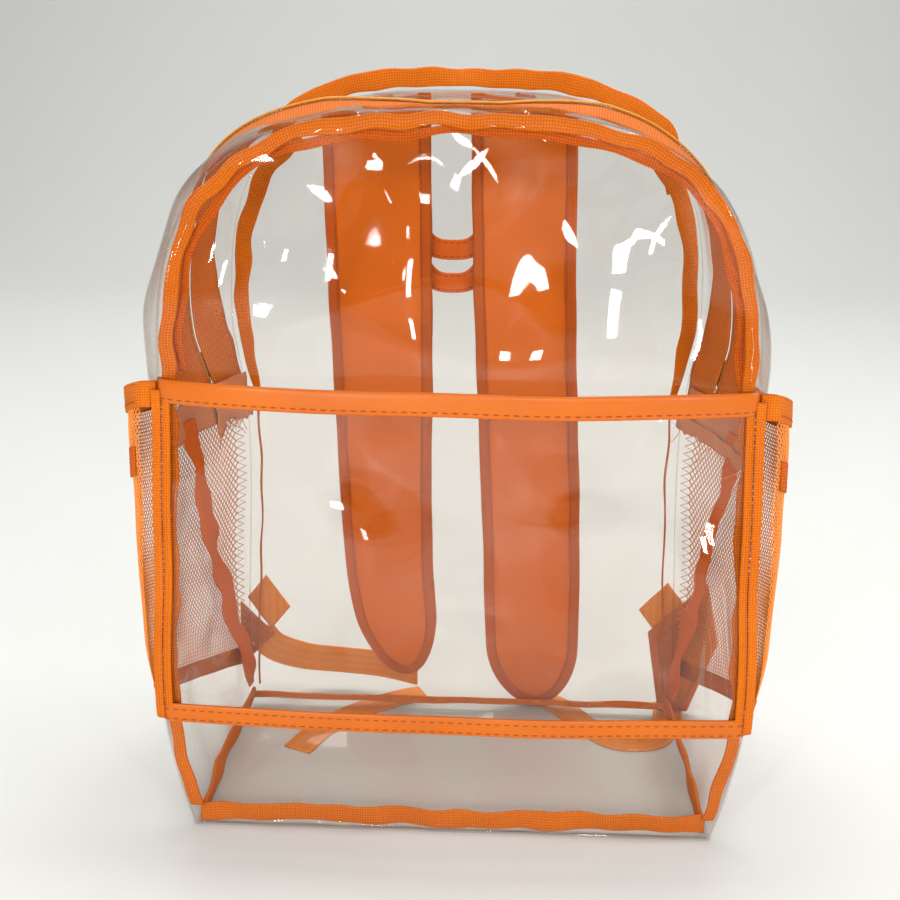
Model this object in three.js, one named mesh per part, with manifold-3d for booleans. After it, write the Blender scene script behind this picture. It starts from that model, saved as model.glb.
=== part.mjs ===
// A clear vinyl backpack with orange trim, standing on its own flat bottom.
// Millimetres, +Z up. The front faces -Y and the wearer's back lies on +Y.
// The origin is the middle of the footprint, on the ground.
import * as THREE from 'three';
import { mergeVertices } from 'three/addons/utils/BufferGeometryUtils.js';
import Module from 'manifold-3d';

const wasm = await Module();
wasm.setup();

// Main form
const bagDepth = 150;
const vinylWall = 1.2;
const seamGap = 0.3;
const stitchClearance = 0.5;

const frontHeight = 414;
const frontHalfWidth = 166;
const frontShoulderHeight = 262;
const frontDome = 8;

const backHeight = 417;
const backHalfWidth = 148;
const backShoulderHeight = 270;
const backDome = 2;
const backLift = 4;

const archPower = 3;
const gussetBulge = 30;
const bulgePeakPower = 0.8;

// Zip over the top of the gusset; its line, as a share of the bag's depth, drifts back towards its ends
const zipEndHeight = 228;
const zipLineTop = 0.58;
const zipLineEnd = 0.79;
const zipTapeWidth = 15;
const coilWidth = 4.4;
const coilThickness = 2;
const tapeThickness = 1;

// Slider and pull at the left end of the zip
const sliderLength = 13;
const sliderWidth = 9;
const sliderThickness = 2.2;
const sliderHeightAboveEnd = 18;
const sliderLift = 0.4;
const pinRadius = 0.7;
const earThickness = 1.2;
const barrelWidth = 3.4;
const barrelWall = 0.7;
const pullLength = 34;
const pullWidth = 7.6;
const pullThickness = 1.4;
const runningGap = 0.4;
const joinDepth = 0.5;
const neckDrop = 1;
const sliderTop = coilThickness + sliderLift + sliderThickness;
const barrelRadius = pinRadius + runningGap + barrelWall;
const pinPlace = sliderTop + barrelRadius + runningGap;

// Woven tapes that bind the seams
const bindingThickness = 2.2;
const frontBindingWidth = 9;
const bottomBindingWidth = 11;
const backBindingWidth = 13;
const topBindingHeight = 11;
const topBindingThickness = 3;
const topBindingLeftEnd = 0.215;
const topBindingRightEnd = 0.24;
const endBandHeight = 22;
const endBandThickness = 1.4;
const endBandSeat = 1.6;
const endBandAboveZipEnd = 9;
const endBandFront = 0.11;
const endBandRear = 0.94;

// Front pocket
const pocketBottomHeight = 67;
const pocketTopHeight = 274;
const pocketRoom = 10;
const pocketSeat = 0.5;
const pocketWall = 1;
const pocketTrimHeight = 13;
const stripHeight = 11.5;
const trimThickness = 1.4;

// Net pockets on the sides
const netWall = 1;
const pullClearance = 2.4;
const netRoom = pinPlace + barrelRadius + pullClearance;
const netFullness = 0.2;
const netFrontTop = 272;
const netBackTop = 262;
const netMouthSag = 18;
const netFrontHem = 80;
const netBackHem = 32;
const netBandHeight = 14;
const netBandThickness = 1.6;
const hemHeight = 11;
const hemThickness = 1.4;
const netEdgeWidth = 12;
const netSeat = 0.8;
const netBandSeat = 0.8;
const hemSeat = 1.5;

// Shoulder straps
const strapThickness = 8;
const strapBow = 9;
const strapBindingWidth = 5;
const strapBindingProud = 0.6;
const strapEndRound = 44;
const strapSeat = 0.8;
const strapTopGap = 1.5;

// Webbing below the straps and its anchors in the lower back corners
const webbingWidth = 20;
const webbingThickness = 1.6;
const tabThickness = 2.2;

// Grab handle: two leaves that hang from the top seam
const handleWidth = 13;
const handleThickness = 1.8;
const handleHalfSpan = 44;
const handleCentre = -9;
const handleDrop = 98;
const handleLeafStep = 22;

// Half width of the front and back seams at heights given as shares of the shoulder height
const frontSides = [
  { height: 0, half: 0.91 },
  { height: 0.12, half: 0.96 },
  { height: 0.29, half: 1 },
  { height: 0.6, half: 0.98 },
  { height: 1, half: 0.955 },
];
const backSides = [
  { height: 0, half: 0.99 },
  { height: 0.3, half: 0.965 },
  { height: 0.66, half: 0.94 },
  { height: 0.82, half: 0.95 },
  { height: 1, half: 1 },
];

// How far each side of the gusset bows outward at heights given as shares of the front height; the crest sags
const bulgeRows = [
  { height: 0, left: 0, right: 0 },
  { height: 0.12, left: 0.33, right: 0.33 },
  { height: 0.36, left: 0.4, right: 0.4 },
  { height: 0.56, left: 0.6, right: 0.54 },
  { height: 0.68, left: 0.74, right: 0.54 },
  { height: 0.82, left: 0.55, right: 0.19 },
  { height: 0.92, left: 0.36, right: 0 },
  { height: 1, left: -0.1, right: -0.1 },
];

// Room in a net pocket, from its hem (0) to its mouth (1)
const netRows = [
  { height: 0, room: 0 },
  { height: 0.2, room: 0.95 },
  { height: 0.5, room: 1.3 },
  { height: 0.8, room: 1.22 },
  { height: 1, room: 1 },
];

// Centre line and half width of each strap, at heights given as shares of the back height
const leftStrap = {
  bottom: 23,
  rows: [
    { height: 0.05, centre: -36, half: 24 },
    { height: 0.16, centre: -45, half: 28 },
    { height: 0.26, centre: -50, half: 30 },
    { height: 0.69, centre: -55, half: 33.5 },
    { height: 1, centre: -57, half: 34 },
  ],
};
const rightStrap = {
  bottom: 2.7,
  rows: [
    { height: 0, centre: 52, half: 30 },
    { height: 0.13, centre: 49, half: 32 },
    { height: 0.24, centre: 48, half: 33 },
    { height: 0.69, centre: 38, half: 33 },
    { height: 1, centre: 34, half: 33 },
  ],
};

// Routes of the webbing: x across the bag, back is how far behind the back seam, z the height of the face's
// lower side or middle, and lean turns the face from level (0) to upright (1)
const leftWebbingRoute = [
  { x: -30, back: 10, z: 12.3, lean: 1 },
  { x: -56, back: 21, z: 12.3, lean: 1 },
  { x: -84, back: 26, z: 12.3, lean: 1 },
  { x: -110, back: 21, z: 17, lean: 1 },
  { x: -129, back: 10, z: 29, lean: 1 },
  { x: -138, back: 4.6, z: 42, lean: 1 },
];
const leftTailRoute = [
  { x: -26, back: 20, z: 0, lean: 0 },
  { x: -44, back: 11, z: 0, lean: 0 },
  { x: -70, back: -9, z: 0, lean: 0 },
  { x: -92, back: -36, z: 0, lean: 0 },
  { x: -104, back: -63, z: 0, lean: 0 },
];
const rightWebbingRoute = [
  { x: 46, back: 22, z: 0, lean: 0 },
  { x: 68, back: 9, z: 0, lean: 0 },
  { x: 86, back: -18, z: 0, lean: 0 },
  { x: 106, back: -40, z: 0, lean: 0 },
  { x: 130, back: -38, z: 0, lean: 0 },
  { x: 142, back: -14, z: 0, lean: 0 },
  { x: 146, back: 14, z: 0, lean: 0 },
];

// Corners of the anchor tabs, seen from behind the left and right back seams
const leftTabCorners = [
  { x: -151, z: 76 },
  { x: -152, z: 28 },
  { x: -128, z: 52.4 },
];
const rightTabCorners = [
  { x: 166, z: 98 },
  { x: 128, z: 61 },
  { x: 138, z: 2.3 },
  { x: 158, z: 2.3 },
  { x: 176, z: 54 },
];

// Corners of the webbing's cut ends, which stand up past the tabs, and how far behind the back panel they lie
const leftEnd = {
  standOff: 3.2,
  corners: [
    { x: -133.4, z: 94.9 },
    { x: -146.5, z: 78.3 },
    { x: -130.6, z: 55 },
    { x: -117.5, z: 71.6 },
  ],
};
const rightEnd = {
  standOff: 3.2,
  corners: [
    { x: 139.9, z: 96.9 },
    { x: 121.5, z: 76.4 },
    { x: 138, z: 54 },
    { x: 156.4, z: 74.9 },
  ],
};

// Materials of the real pieces
const clearVinyl = new THREE.MeshStandardMaterial({
  color: '#e8e4e2', roughness: 0.08, metalness: 0, transparent: true, opacity: 0.35,
});
const orangeTape = new THREE.MeshStandardMaterial({ color: '#f0801e', roughness: 0.75, metalness: 0 });
const orangeVinyl = new THREE.MeshStandardMaterial({ color: '#d8701a', roughness: 0.35, metalness: 0 });
const orangeNylon = new THREE.MeshStandardMaterial({ color: '#e88232', roughness: 0.7, metalness: 0 });
const orangeNet = new THREE.MeshStandardMaterial({ color: '#f08c50', roughness: 0.8, metalness: 0 });
const zipCoil = new THREE.MeshStandardMaterial({ color: '#d89440', roughness: 0.45, metalness: 0 });
const greyMetal = new THREE.MeshStandardMaterial({ color: '#a8a8a2', roughness: 0.35, metalness: 0.9 });

const bag = new THREE.Group();

function addPiece(name, geometry, material) {
  const mesh = new THREE.Mesh(geometry, material);
  mesh.name = name;
  bag.add(mesh);
  return mesh;
}

// A smooth curve through the rows of a short table, read at any height
function readTable(rows, key) {
  const slopes = rows.map((row, i) => {
    const before = rows[Math.max(i - 1, 0)];
    const after = rows[Math.min(i + 1, rows.length - 1)];
    return (after[key] - before[key]) / (after.height - before.height);
  });
  return (height) => {
    const last = rows.length - 2;
    let i = rows.findIndex((row, k) => k > 0 && height <= row.height) - 1;
    if (i < 0) i = height <= rows[0].height ? 0 : last;
    const span = rows[i + 1].height - rows[i].height;
    const s = THREE.MathUtils.clamp((height - rows[i].height) / span, 0, 1);
    const a = rows[i][key];
    const b = rows[i + 1][key];
    const rise = s * s * (3 - 2 * s);
    const startPull = s * (1 - s) * (1 - s) * slopes[i] * span;
    const endPull = s * s * (s - 1) * slopes[i + 1] * span;
    return a + (b - a) * rise + startPull + endPull;
  };
}

// Half of a seam line, from the top centre round the arch and down the side, with the way out of the bag
function makeOutline({ height, halfWidth, shoulderHeight, sides, lift }) {
  const half = readTable(sides, 'half');
  const points = [];
  const archSteps = 160;
  const sideSteps = 80;
  const shoulderHalf = halfWidth * half(1);
  const rise = height - shoulderHeight;
  for (let k = 0; k <= archSteps; k += 1) {
    const angle = (k / archSteps) * (Math.PI / 2);
    const across = Math.sin(angle) ** (2 / archPower);
    const up = Math.cos(angle) ** (2 / archPower);
    const normal = new THREE.Vector2(
      across ** (archPower - 1) / shoulderHalf,
      up ** (archPower - 1) / rise,
    ).normalize();
    points.push({ x: shoulderHalf * across, z: shoulderHeight + rise * up, nx: normal.x, nz: normal.y });
  }
  for (let k = 1; k <= sideSteps; k += 1) {
    const share = 1 - k / sideSteps;
    const z = lift + (shoulderHeight - lift) * share;
    points.push({ x: halfWidth * half(share), z, nx: 1, nz: 0 });
  }
  let length = 0;
  points.forEach((point, i) => {
    if (i > 0) length += Math.hypot(point.x - points[i - 1].x, point.z - points[i - 1].z);
    point.at = length;
  });
  return points;
}

const frontLine = makeOutline({
  height: frontHeight,
  halfWidth: frontHalfWidth,
  shoulderHeight: frontShoulderHeight,
  sides: frontSides,
  lift: 0,
});
const backLine = makeOutline({
  height: backHeight,
  halfWidth: backHalfWidth,
  shoulderHeight: backShoulderHeight,
  sides: backSides,
  lift: backLift,
});

// A point of a seam line: -1 is the left bottom corner, 0 the top centre and 1 the right bottom corner
function outlineAt(line, share) {
  const distance = Math.abs(share) * line[line.length - 1].at;
  let i = line.findIndex((point) => point.at >= distance);
  i = Math.max(i, 1);
  const s = (distance - line[i - 1].at) / (line[i].at - line[i - 1].at);
  const mix = (key) => THREE.MathUtils.lerp(line[i - 1][key], line[i][key], s);
  const side = share < 0 ? -1 : 1;
  return { x: side * mix('x'), z: mix('z'), nx: side * mix('nx'), nz: mix('nz') };
}

// The share of a seam line at which its side passes a height
function shareAtHeight(line, height) {
  const i = line.findIndex((point) => point.z <= height);
  const s = (line[i - 1].z - height) / (line[i - 1].z - line[i].z);
  return THREE.MathUtils.lerp(line[i - 1].at, line[i].at, s) / line[line.length - 1].at;
}

// Half width of a panel at any height, from its seam line
function halfWidthAt(line, height) {
  if (height >= line[0].z) return 0;
  if (height <= line[line.length - 1].z) return line[line.length - 1].x;
  const i = line.findIndex((point) => point.z <= height);
  const s = (line[i - 1].z - height) / (line[i - 1].z - line[i].z);
  return THREE.MathUtils.lerp(line[i - 1].x, line[i].x, s);
}

// Ways in which a wall's thickness may grow: along its own normal, square to the bag's depth, along it, or
// straight to the side
const alongNormal = (normal) => normal.normalize();
const squareToDepth = (normal) => normal.setY(0).normalize();
const alongDepth = (normal) => normal.set(0, Math.sign(normal.y), 0);
const sideways = (normal) => normal.set(Math.sign(normal.x), 0, 0);

// A wall of even thickness over a grid of points. Its thickness grows along du x dv.
function wallGeometry(pointAt, columns, rows, thickness, grow = alongNormal) {
  const grid = [];
  for (let j = 0; j <= rows; j += 1) {
    for (let i = 0; i <= columns; i += 1) grid.push(pointAt(i / columns, j / rows));
  }
  const at = (i, j) => j * (columns + 1) + i;
  const raised = grid.map((point, index) => {
    const i = index % (columns + 1);
    const j = Math.floor(index / (columns + 1));
    const along = grid[at(Math.min(i + 1, columns), j)].clone().sub(grid[at(Math.max(i - 1, 0), j)]);
    const across = grid[at(i, Math.min(j + 1, rows))].clone().sub(grid[at(i, Math.max(j - 1, 0))]);
    return point.clone().addScaledVector(grow(along.cross(across)), thickness);
  });
  const count = grid.length;
  const faces = [];
  for (let j = 0; j < rows; j += 1) {
    for (let i = 0; i < columns; i += 1) {
      const [a, b, c, d] = [at(i, j), at(i + 1, j), at(i + 1, j + 1), at(i, j + 1)];
      faces.push(a + count, b + count, c + count, a + count, c + count, d + count);
      faces.push(a, c, b, a, d, c);
    }
  }
  const rim = [];
  for (let i = 0; i < columns; i += 1) rim.push([at(i, 0), at(i + 1, 0)]);
  for (let j = 0; j < rows; j += 1) rim.push([at(columns, j), at(columns, j + 1)]);
  for (let i = columns; i > 0; i -= 1) rim.push([at(i, rows), at(i - 1, rows)]);
  for (let j = rows; j > 0; j -= 1) rim.push([at(0, j), at(0, j - 1)]);
  rim.forEach(([a, b]) => faces.push(a, b, b + count, a, b + count, a + count));
  return facesGeometry([...grid, ...raised], faces);
}

function facesGeometry(points, faces) {
  const geometry = new THREE.BufferGeometry();
  geometry.setAttribute('position', new THREE.Float32BufferAttribute(points.flatMap((p) => p.toArray()), 3));
  geometry.setIndex(faces);
  geometry.computeVertexNormals();
  return geometry;
}

// A panel inside a closed line, made of rings that shrink to its middle, with even thickness along Y
function panelGeometry(loop, middle, rings, faceAt, thickness) {
  const points = [];
  for (let ring = rings; ring > 0; ring -= 1) {
    const scale = ring / rings;
    loop.forEach((edge) => {
      const x = middle.x + (edge.x - middle.x) * scale;
      const z = middle.z + (edge.z - middle.z) * scale;
      points.push(new THREE.Vector3(x, faceAt(x, z), z));
    });
  }
  points.push(new THREE.Vector3(middle.x, faceAt(middle.x, middle.z), middle.z));
  const count = points.length;
  const backs = points.map((point) => point.clone().add(new THREE.Vector3(0, thickness, 0)));
  const size = loop.length;
  const faces = [];
  const both = (a, b, c) => faces.push(a, b, c, a + count, c + count, b + count);
  for (let i = 0; i < size; i += 1) {
    const next = (i + 1) % size;
    for (let ring = 0; ring < rings - 1; ring += 1) {
      const [a, b] = [ring * size + i, ring * size + next];
      both(a, b, b + size);
      both(a, b + size, a + size);
    }
    both((rings - 1) * size + i, (rings - 1) * size + next, count - 1);
    faces.push(i, i + count, next + count, i, next + count, next);
  }
  return facesGeometry([...points, ...backs], faces);
}

const frontY = -bagDepth / 2;
const backY = bagDepth / 2;
const bulgeShares = { left: readTable(bulgeRows, 'left'), right: readTable(bulgeRows, 'right') };

function bulgeAt(side, height, depthShare) {
  const share = bulgeShares[side](height / frontHeight);
  return gussetBulge * share * Math.sin(Math.PI * depthShare ** bulgePeakPower);
}

// A point on the inner face of the gusset, raised outward by a lift
function gussetPoint(share, depthShare, lift = 0) {
  const front = outlineAt(frontLine, share);
  const back = outlineAt(backLine, share);
  const mix = (key) => THREE.MathUtils.lerp(front[key], back[key], depthShare);
  const out = new THREE.Vector2(mix('nx'), mix('nz')).normalize();
  const offset = bulgeAt(share < 0 ? 'left' : 'right', mix('z'), depthShare) + lift;
  const y = THREE.MathUtils.lerp(frontY + seamGap, backY - seamGap, depthShare);
  return new THREE.Vector3(mix('x') + out.x * offset, y, mix('z') + out.y * offset);
}

// The front panel swells forward in its middle, and the back panel backward
function domeAt(line, dome, x, z) {
  const half = halfWidthAt(line, z);
  const rise = (2 * z) / line[0].z - 1;
  if (half < 1) return 0;
  return dome * Math.max(0, 1 - (x / half) ** 2) * Math.max(0, 1 - rise ** 4);
}

function panelLoop(line, grow) {
  const sideCount = 26;
  const loop = [];
  for (let k = -sideCount; k <= sideCount; k += 1) {
    const edge = outlineAt(line, k / sideCount);
    loop.push({ x: edge.x + edge.nx * grow, z: edge.z + edge.nz * grow });
  }
  const corner = loop[loop.length - 1];
  const bottomSteps = 8;
  for (let k = 1; k < bottomSteps; k += 1) {
    loop.push({ x: THREE.MathUtils.lerp(corner.x, -corner.x, k / bottomSteps), z: corner.z });
  }
  return loop.reverse();
}

const frontFace = (x, z) => frontY - vinylWall - domeAt(frontLine, frontDome, x, z);

function addPanels() {
  const rings = 4;
  const frontMiddle = { x: 0, z: frontHeight / 2 };
  const backMiddle = { x: 0, z: backHeight / 2 };
  const backFace = (x, z) => backY + domeAt(backLine, backDome, x, z);
  addPiece('front_panel', panelGeometry(panelLoop(frontLine, vinylWall), frontMiddle, rings, frontFace,
    vinylWall), clearVinyl);
  addPiece('back_panel', panelGeometry(panelLoop(backLine, vinylWall), backMiddle, rings, backFace,
    vinylWall), clearVinyl);
}

// The bottom runs from the front seam to the back seam, which stands a little higher
function addBottom() {
  const bottomPoint = (across, depthShare) => {
    const edge = gussetPoint(1, depthShare);
    const x = (2 * across - 1) * (edge.x - seamGap);
    return new THREE.Vector3(x, edge.y, edge.z);
  };
  addPiece('bottom_panel', wallGeometry(bottomPoint, 8, 6, vinylWall), clearVinyl);
}

const zipEnd = shareAtHeight(frontLine, zipEndHeight);
const lineLength = frontLine[frontLine.length - 1].at;
const gapShare = seamGap / lineLength;
const depthShareOf = (length) => length / bagDepth;

// The zip's line, as a share of the depth
const zipLineAt = (share) => THREE.MathUtils.lerp(zipLineTop, zipLineEnd, (share / zipEnd) ** 2);

// A strip of the gusset between two ends of the seam line and two edges that follow a line of depth
function gussetStrip({ from, to, front, rear, lift = 0, thickness, columns, rows, grow = squareToDepth }) {
  const pointAt = (across, along) => {
    const share = THREE.MathUtils.lerp(from, to, across);
    return gussetPoint(share, THREE.MathUtils.lerp(front(share), rear(share), along), lift);
  };
  return wallGeometry(pointAt, columns, rows, thickness, grow);
}

function addZipGusset() {
  const arch = { from: -zipEnd + gapShare, to: zipEnd - gapShare, columns: 40 };
  const coilEdge = depthShareOf(coilWidth / 2);
  const tapeEdge = coilEdge + depthShareOf(seamGap);
  const tapeOuter = tapeEdge + depthShareOf(zipTapeWidth);
  const stripEdge = tapeOuter + depthShareOf(seamGap);
  const line = (offset) => (share) => zipLineAt(share) + offset;
  addPiece('gusset_front_strip', gussetStrip({
    ...arch, front: () => 0, rear: line(-stripEdge), thickness: vinylWall, rows: 4,
  }), clearVinyl);
  addPiece('zip_tape_front', gussetStrip({
    ...arch, front: line(-tapeOuter), rear: line(-tapeEdge), thickness: tapeThickness, rows: 1,
  }), orangeTape);
  addPiece('zip_coil', gussetStrip({
    ...arch, front: line(-coilEdge), rear: line(coilEdge), thickness: coilThickness, rows: 1,
  }), zipCoil);
  addPiece('zip_tape_rear', gussetStrip({
    ...arch, front: line(tapeEdge), rear: line(tapeOuter), thickness: tapeThickness, rows: 1,
  }), orangeTape);
  addPiece('gusset_rear_strip', gussetStrip({
    ...arch, front: line(stripEdge), rear: () => 1, thickness: vinylWall, rows: 3,
  }), clearVinyl);
}

// Below the zip each side is one clear wall, bound inside where the zip ends
function addSideGussets() {
  const bandTop = zipEndHeight + endBandAboveZipEnd;
  const low = shareAtHeight(frontLine, bandTop - endBandHeight);
  const high = shareAtHeight(frontLine, bandTop);
  const inward = endBandSeat + endBandThickness;
  ['left', 'right'].forEach((side) => {
    const sign = side === 'left' ? -1 : 1;
    const span = (a, b) => (sign < 0 ? { from: -a, to: -b } : { from: b, to: a });
    addPiece(`side_gusset_${side}`, gussetStrip({
      ...span(1, zipEnd + gapShare), front: () => 0, rear: () => 1, thickness: vinylWall, columns: 12, rows: 8,
      grow: sideways,
    }), clearVinyl);
    addPiece(`zip_end_band_${side}`, gussetStrip({
      ...span(low, high), front: () => endBandFront, rear: () => endBandRear, lift: -inward,
      thickness: endBandThickness, columns: 2, rows: 12,
    }), orangeTape);
  });
}

// Tape that binds a seam allowance: a flat strip that follows a seam line, set in from it, along one Y
function seamTape({ line, from, to, inset, width, y, thickness, columns }) {
  const pointAt = (along, across) => {
    const edge = outlineAt(line, THREE.MathUtils.lerp(from, to, along));
    const distance = inset + across * width;
    return new THREE.Vector3(edge.x - edge.nx * distance, y, edge.z - edge.nz * distance);
  };
  return wallGeometry(pointAt, columns, 1, thickness);
}

function addSeamTapes() {
  const bottomTapeFoot = vinylWall + seamGap;
  const frontTapeEnd = shareAtHeight(frontLine, bottomTapeFoot + bottomBindingWidth + seamGap);
  const backTapeEnd = shareAtHeight(backLine, backLift + bottomTapeFoot + bottomBindingWidth + seamGap);
  addPiece('front_seam_binding', seamTape({
    line: frontLine, from: -frontTapeEnd, to: frontTapeEnd, inset: stitchClearance, width: frontBindingWidth,
    y: frontY + seamGap, thickness: bindingThickness, columns: 48,
  }), orangeTape);
  const backSeam = {
    line: backLine, inset: stitchClearance, width: backBindingWidth,
    y: backY - seamGap - bindingThickness, thickness: bindingThickness, columns: 26,
  };
  addPiece('back_seam_binding_left', seamTape({
    ...backSeam, from: -backTapeEnd, to: -topBindingLeftEnd,
  }), orangeTape);
  addPiece('back_seam_binding_right', seamTape({
    ...backSeam, from: topBindingRightEnd, to: backTapeEnd,
  }), orangeTape);
  const standing = vinylWall + stitchClearance + topBindingHeight;
  addPiece('top_seam_binding', seamTape({
    line: backLine, from: -topBindingLeftEnd, to: topBindingRightEnd, inset: -standing, width: topBindingHeight,
    y: backY - topBindingThickness / 2, thickness: topBindingThickness, columns: 22,
  }), orangeTape);
}

// The tapes round the bottom stand up from the bottom panel, just inside its four edges
function addBottomTapes() {
  const foot = vinylWall + seamGap;
  const clearance = stitchClearance + seamGap;
  const corner = outlineAt(frontLine, 1).x - clearance;
  const rearCorner = outlineAt(backLine, 1).x - clearance;
  const frontTape = (along, up) => new THREE.Vector3(
    (2 * along - 1) * corner,
    frontY + seamGap + bindingThickness,
    foot + up * bottomBindingWidth,
  );
  const backTape = (along, up) => new THREE.Vector3(
    (2 * along - 1) * rearCorner,
    backY - seamGap,
    backLift + foot + up * bottomBindingWidth,
  );
  addPiece('front_bottom_binding', wallGeometry(frontTape, 12, 1, bindingThickness), orangeTape);
  addPiece('back_bottom_binding', wallGeometry(backTape, 12, 1, bindingThickness), orangeTape);
  const endShare = (2 * seamGap + bindingThickness) / bagDepth;
  ['left', 'right'].forEach((side) => {
    const inner = side === 'left' ? 0 : bindingThickness;
    const sideTape = (along, up) => {
      const depthShare = THREE.MathUtils.lerp(endShare, 1 - endShare, along);
      const edge = gussetPoint(side === 'left' ? -1 : 1, depthShare);
      const height = foot + up * bottomBindingWidth;
      const x = Math.abs(edge.x) - clearance - inner;
      return new THREE.Vector3(Math.sign(edge.x) * x, edge.y, edge.z + height);
    };
    addPiece(`side_bottom_binding_${side}`, wallGeometry(sideTape, 8, 1, bindingThickness), orangeTape);
  });
}

// The pocket's face stands off the front panel more towards its open top
const pocketFace = (x, z) => {
  const half = halfWidthAt(frontLine, z);
  const up = THREE.MathUtils.clamp((z - pocketBottomHeight) / (pocketTopHeight - pocketBottomHeight), 0, 1);
  const room = pocketRoom * Math.max(0, 1 - (x / half) ** 4) * Math.sin((Math.PI / 2) * up) ** 0.8;
  return frontFace(x, z) - pocketSeat - room;
};

// A wall in front of the bag between two heights, as wide as the front seam there, with its face at faceAt
function frontWall({ low, high, reach, faceAt, thickness, columns, rows }) {
  const pointAt = (across, up) => {
    const z = THREE.MathUtils.lerp(low, high, up);
    const x = (2 * across - 1) * (halfWidthAt(frontLine, z) + reach);
    return new THREE.Vector3(x, faceAt(x, z), z);
  };
  return wallGeometry(pointAt, columns, rows, thickness, alongDepth);
}

function addFrontPocket() {
  const trimFace = (x, z) => pocketFace(x, z) - pocketWall - seamGap;
  addPiece('pocket_panel', frontWall({
    low: pocketBottomHeight, high: pocketTopHeight, reach: 0, faceAt: pocketFace, thickness: pocketWall,
    columns: 12, rows: 8,
  }), clearVinyl);
  addPiece('pocket_top_binding', frontWall({
    low: pocketTopHeight - pocketTrimHeight, high: pocketTopHeight, reach: 1, faceAt: trimFace,
    thickness: trimThickness, columns: 12, rows: 1,
  }), orangeVinyl);
  addPiece('pocket_bottom_strip', frontWall({
    low: pocketBottomHeight, high: pocketBottomHeight + stripHeight, reach: 2, faceAt: trimFace,
    thickness: trimThickness, columns: 12, rows: 1,
  }), orangeVinyl);
}

const netRoomShare = readTable(netRows, 'room');
const netHemAt = (depthShare) => THREE.MathUtils.lerp(netFrontHem, netBackHem, depthShare);
const netTopAt = (depthShare) => THREE.MathUtils.lerp(netFrontTop, netBackTop, depthShare)
  - netMouthSag * Math.sin(Math.PI * depthShare);

// A point on the inner face of a net pocket, from its hem (0) to its mouth (1)
function netPoint(side, depthShare, up, lift = 0) {
  const z = THREE.MathUtils.lerp(netHemAt(depthShare), netTopAt(depthShare), up);
  const sign = side === 'left' ? -1 : 1;
  const front = halfWidthAt(frontLine, z);
  const back = halfWidthAt(backLine, z);
  const y = THREE.MathUtils.lerp(frontY + seamGap, backY - seamGap, depthShare);
  const room = netRoom * netRoomShare(up) * Math.sin(Math.PI * depthShare ** bulgePeakPower) ** netFullness;
  const wall = THREE.MathUtils.lerp(front, back, depthShare) + bulgeAt(side, z, depthShare) + vinylWall;
  return new THREE.Vector3(sign * (wall + netSeat + room + lift), y, z);
}

// A wall over part of a net pocket; its thickness grows outward
function netWallGeometry({ side, low, high, lift, thickness, front, rear, columns, rows }) {
  const pointAt = (along, across) => {
    const depthShare = THREE.MathUtils.lerp(front, rear, side === 'left' ? 1 - along : along);
    return netPoint(side, depthShare, THREE.MathUtils.lerp(low(depthShare), high(depthShare), across), lift);
  };
  return wallGeometry(pointAt, columns, rows, thickness, squareToDepth);
}

function addNetPockets() {
  const height = (depthShare) => netTopAt(depthShare) - netHemAt(depthShare);
  const edge = depthShareOf(netEdgeWidth);
  const whole = { low: () => 0, high: () => 1 };
  ['left', 'right'].forEach((side) => {
    addPiece(`net_pocket_${side}`, netWallGeometry({
      side, ...whole, lift: 0, thickness: netWall, front: edge + depthShareOf(seamGap), rear: 1,
      columns: 10, rows: 8,
    }), orangeNet);
    addPiece(`net_edge_band_${side}`, netWallGeometry({
      side, ...whole, lift: 0, thickness: netBandThickness, front: 0, rear: edge, columns: 2, rows: 8,
    }), orangeTape);
    const skin = {
      side, front: edge + depthShareOf(seamGap), rear: 1, columns: 10, rows: 2,
    };
    addPiece(`net_top_band_${side}`, netWallGeometry({
      ...skin, low: (share) => 1 - netBandHeight / height(share), high: () => 1, thickness: netBandThickness,
      lift: netWall + netBandSeat,
    }), orangeTape);
    addPiece(`net_hem_${side}`, netWallGeometry({
      ...skin, low: () => 0, high: (share) => hemHeight / height(share), thickness: hemThickness,
      lift: netWall + hemSeat,
    }), orangeTape);
  });
}

// Joining and cutting of closed shapes
function toSolid(geometry, matrix = new THREE.Matrix4()) {
  const placed = geometry.clone().applyMatrix4(matrix);
  placed.deleteAttribute('normal');
  placed.deleteAttribute('uv');
  const merged = mergeVertices(placed, 1e-4);
  return new wasm.Manifold(new wasm.Mesh({
    numProp: 3,
    vertProperties: new Float32Array(merged.attributes.position.array),
    triVerts: new Uint32Array(merged.index.array),
  }));
}

function fromSolid(solid) {
  const mesh = solid.getMesh();
  const geometry = new THREE.BufferGeometry();
  geometry.setAttribute('position', new THREE.BufferAttribute(new Float32Array(mesh.vertProperties), 3));
  geometry.setIndex(Array.from(mesh.triVerts));
  geometry.computeVertexNormals();
  return geometry;
}

const boxSolid = (x, y, z, place) => toSolid(
  new THREE.BoxGeometry(x, y, z),
  new THREE.Matrix4().makeTranslation(place.x, place.y, place.z),
);
const roundSolid = (radius, length, place) => toSolid(
  new THREE.CylinderGeometry(radius, radius, length, 14),
  new THREE.Matrix4().makeTranslation(place.x, place.y, place.z),
);

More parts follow.
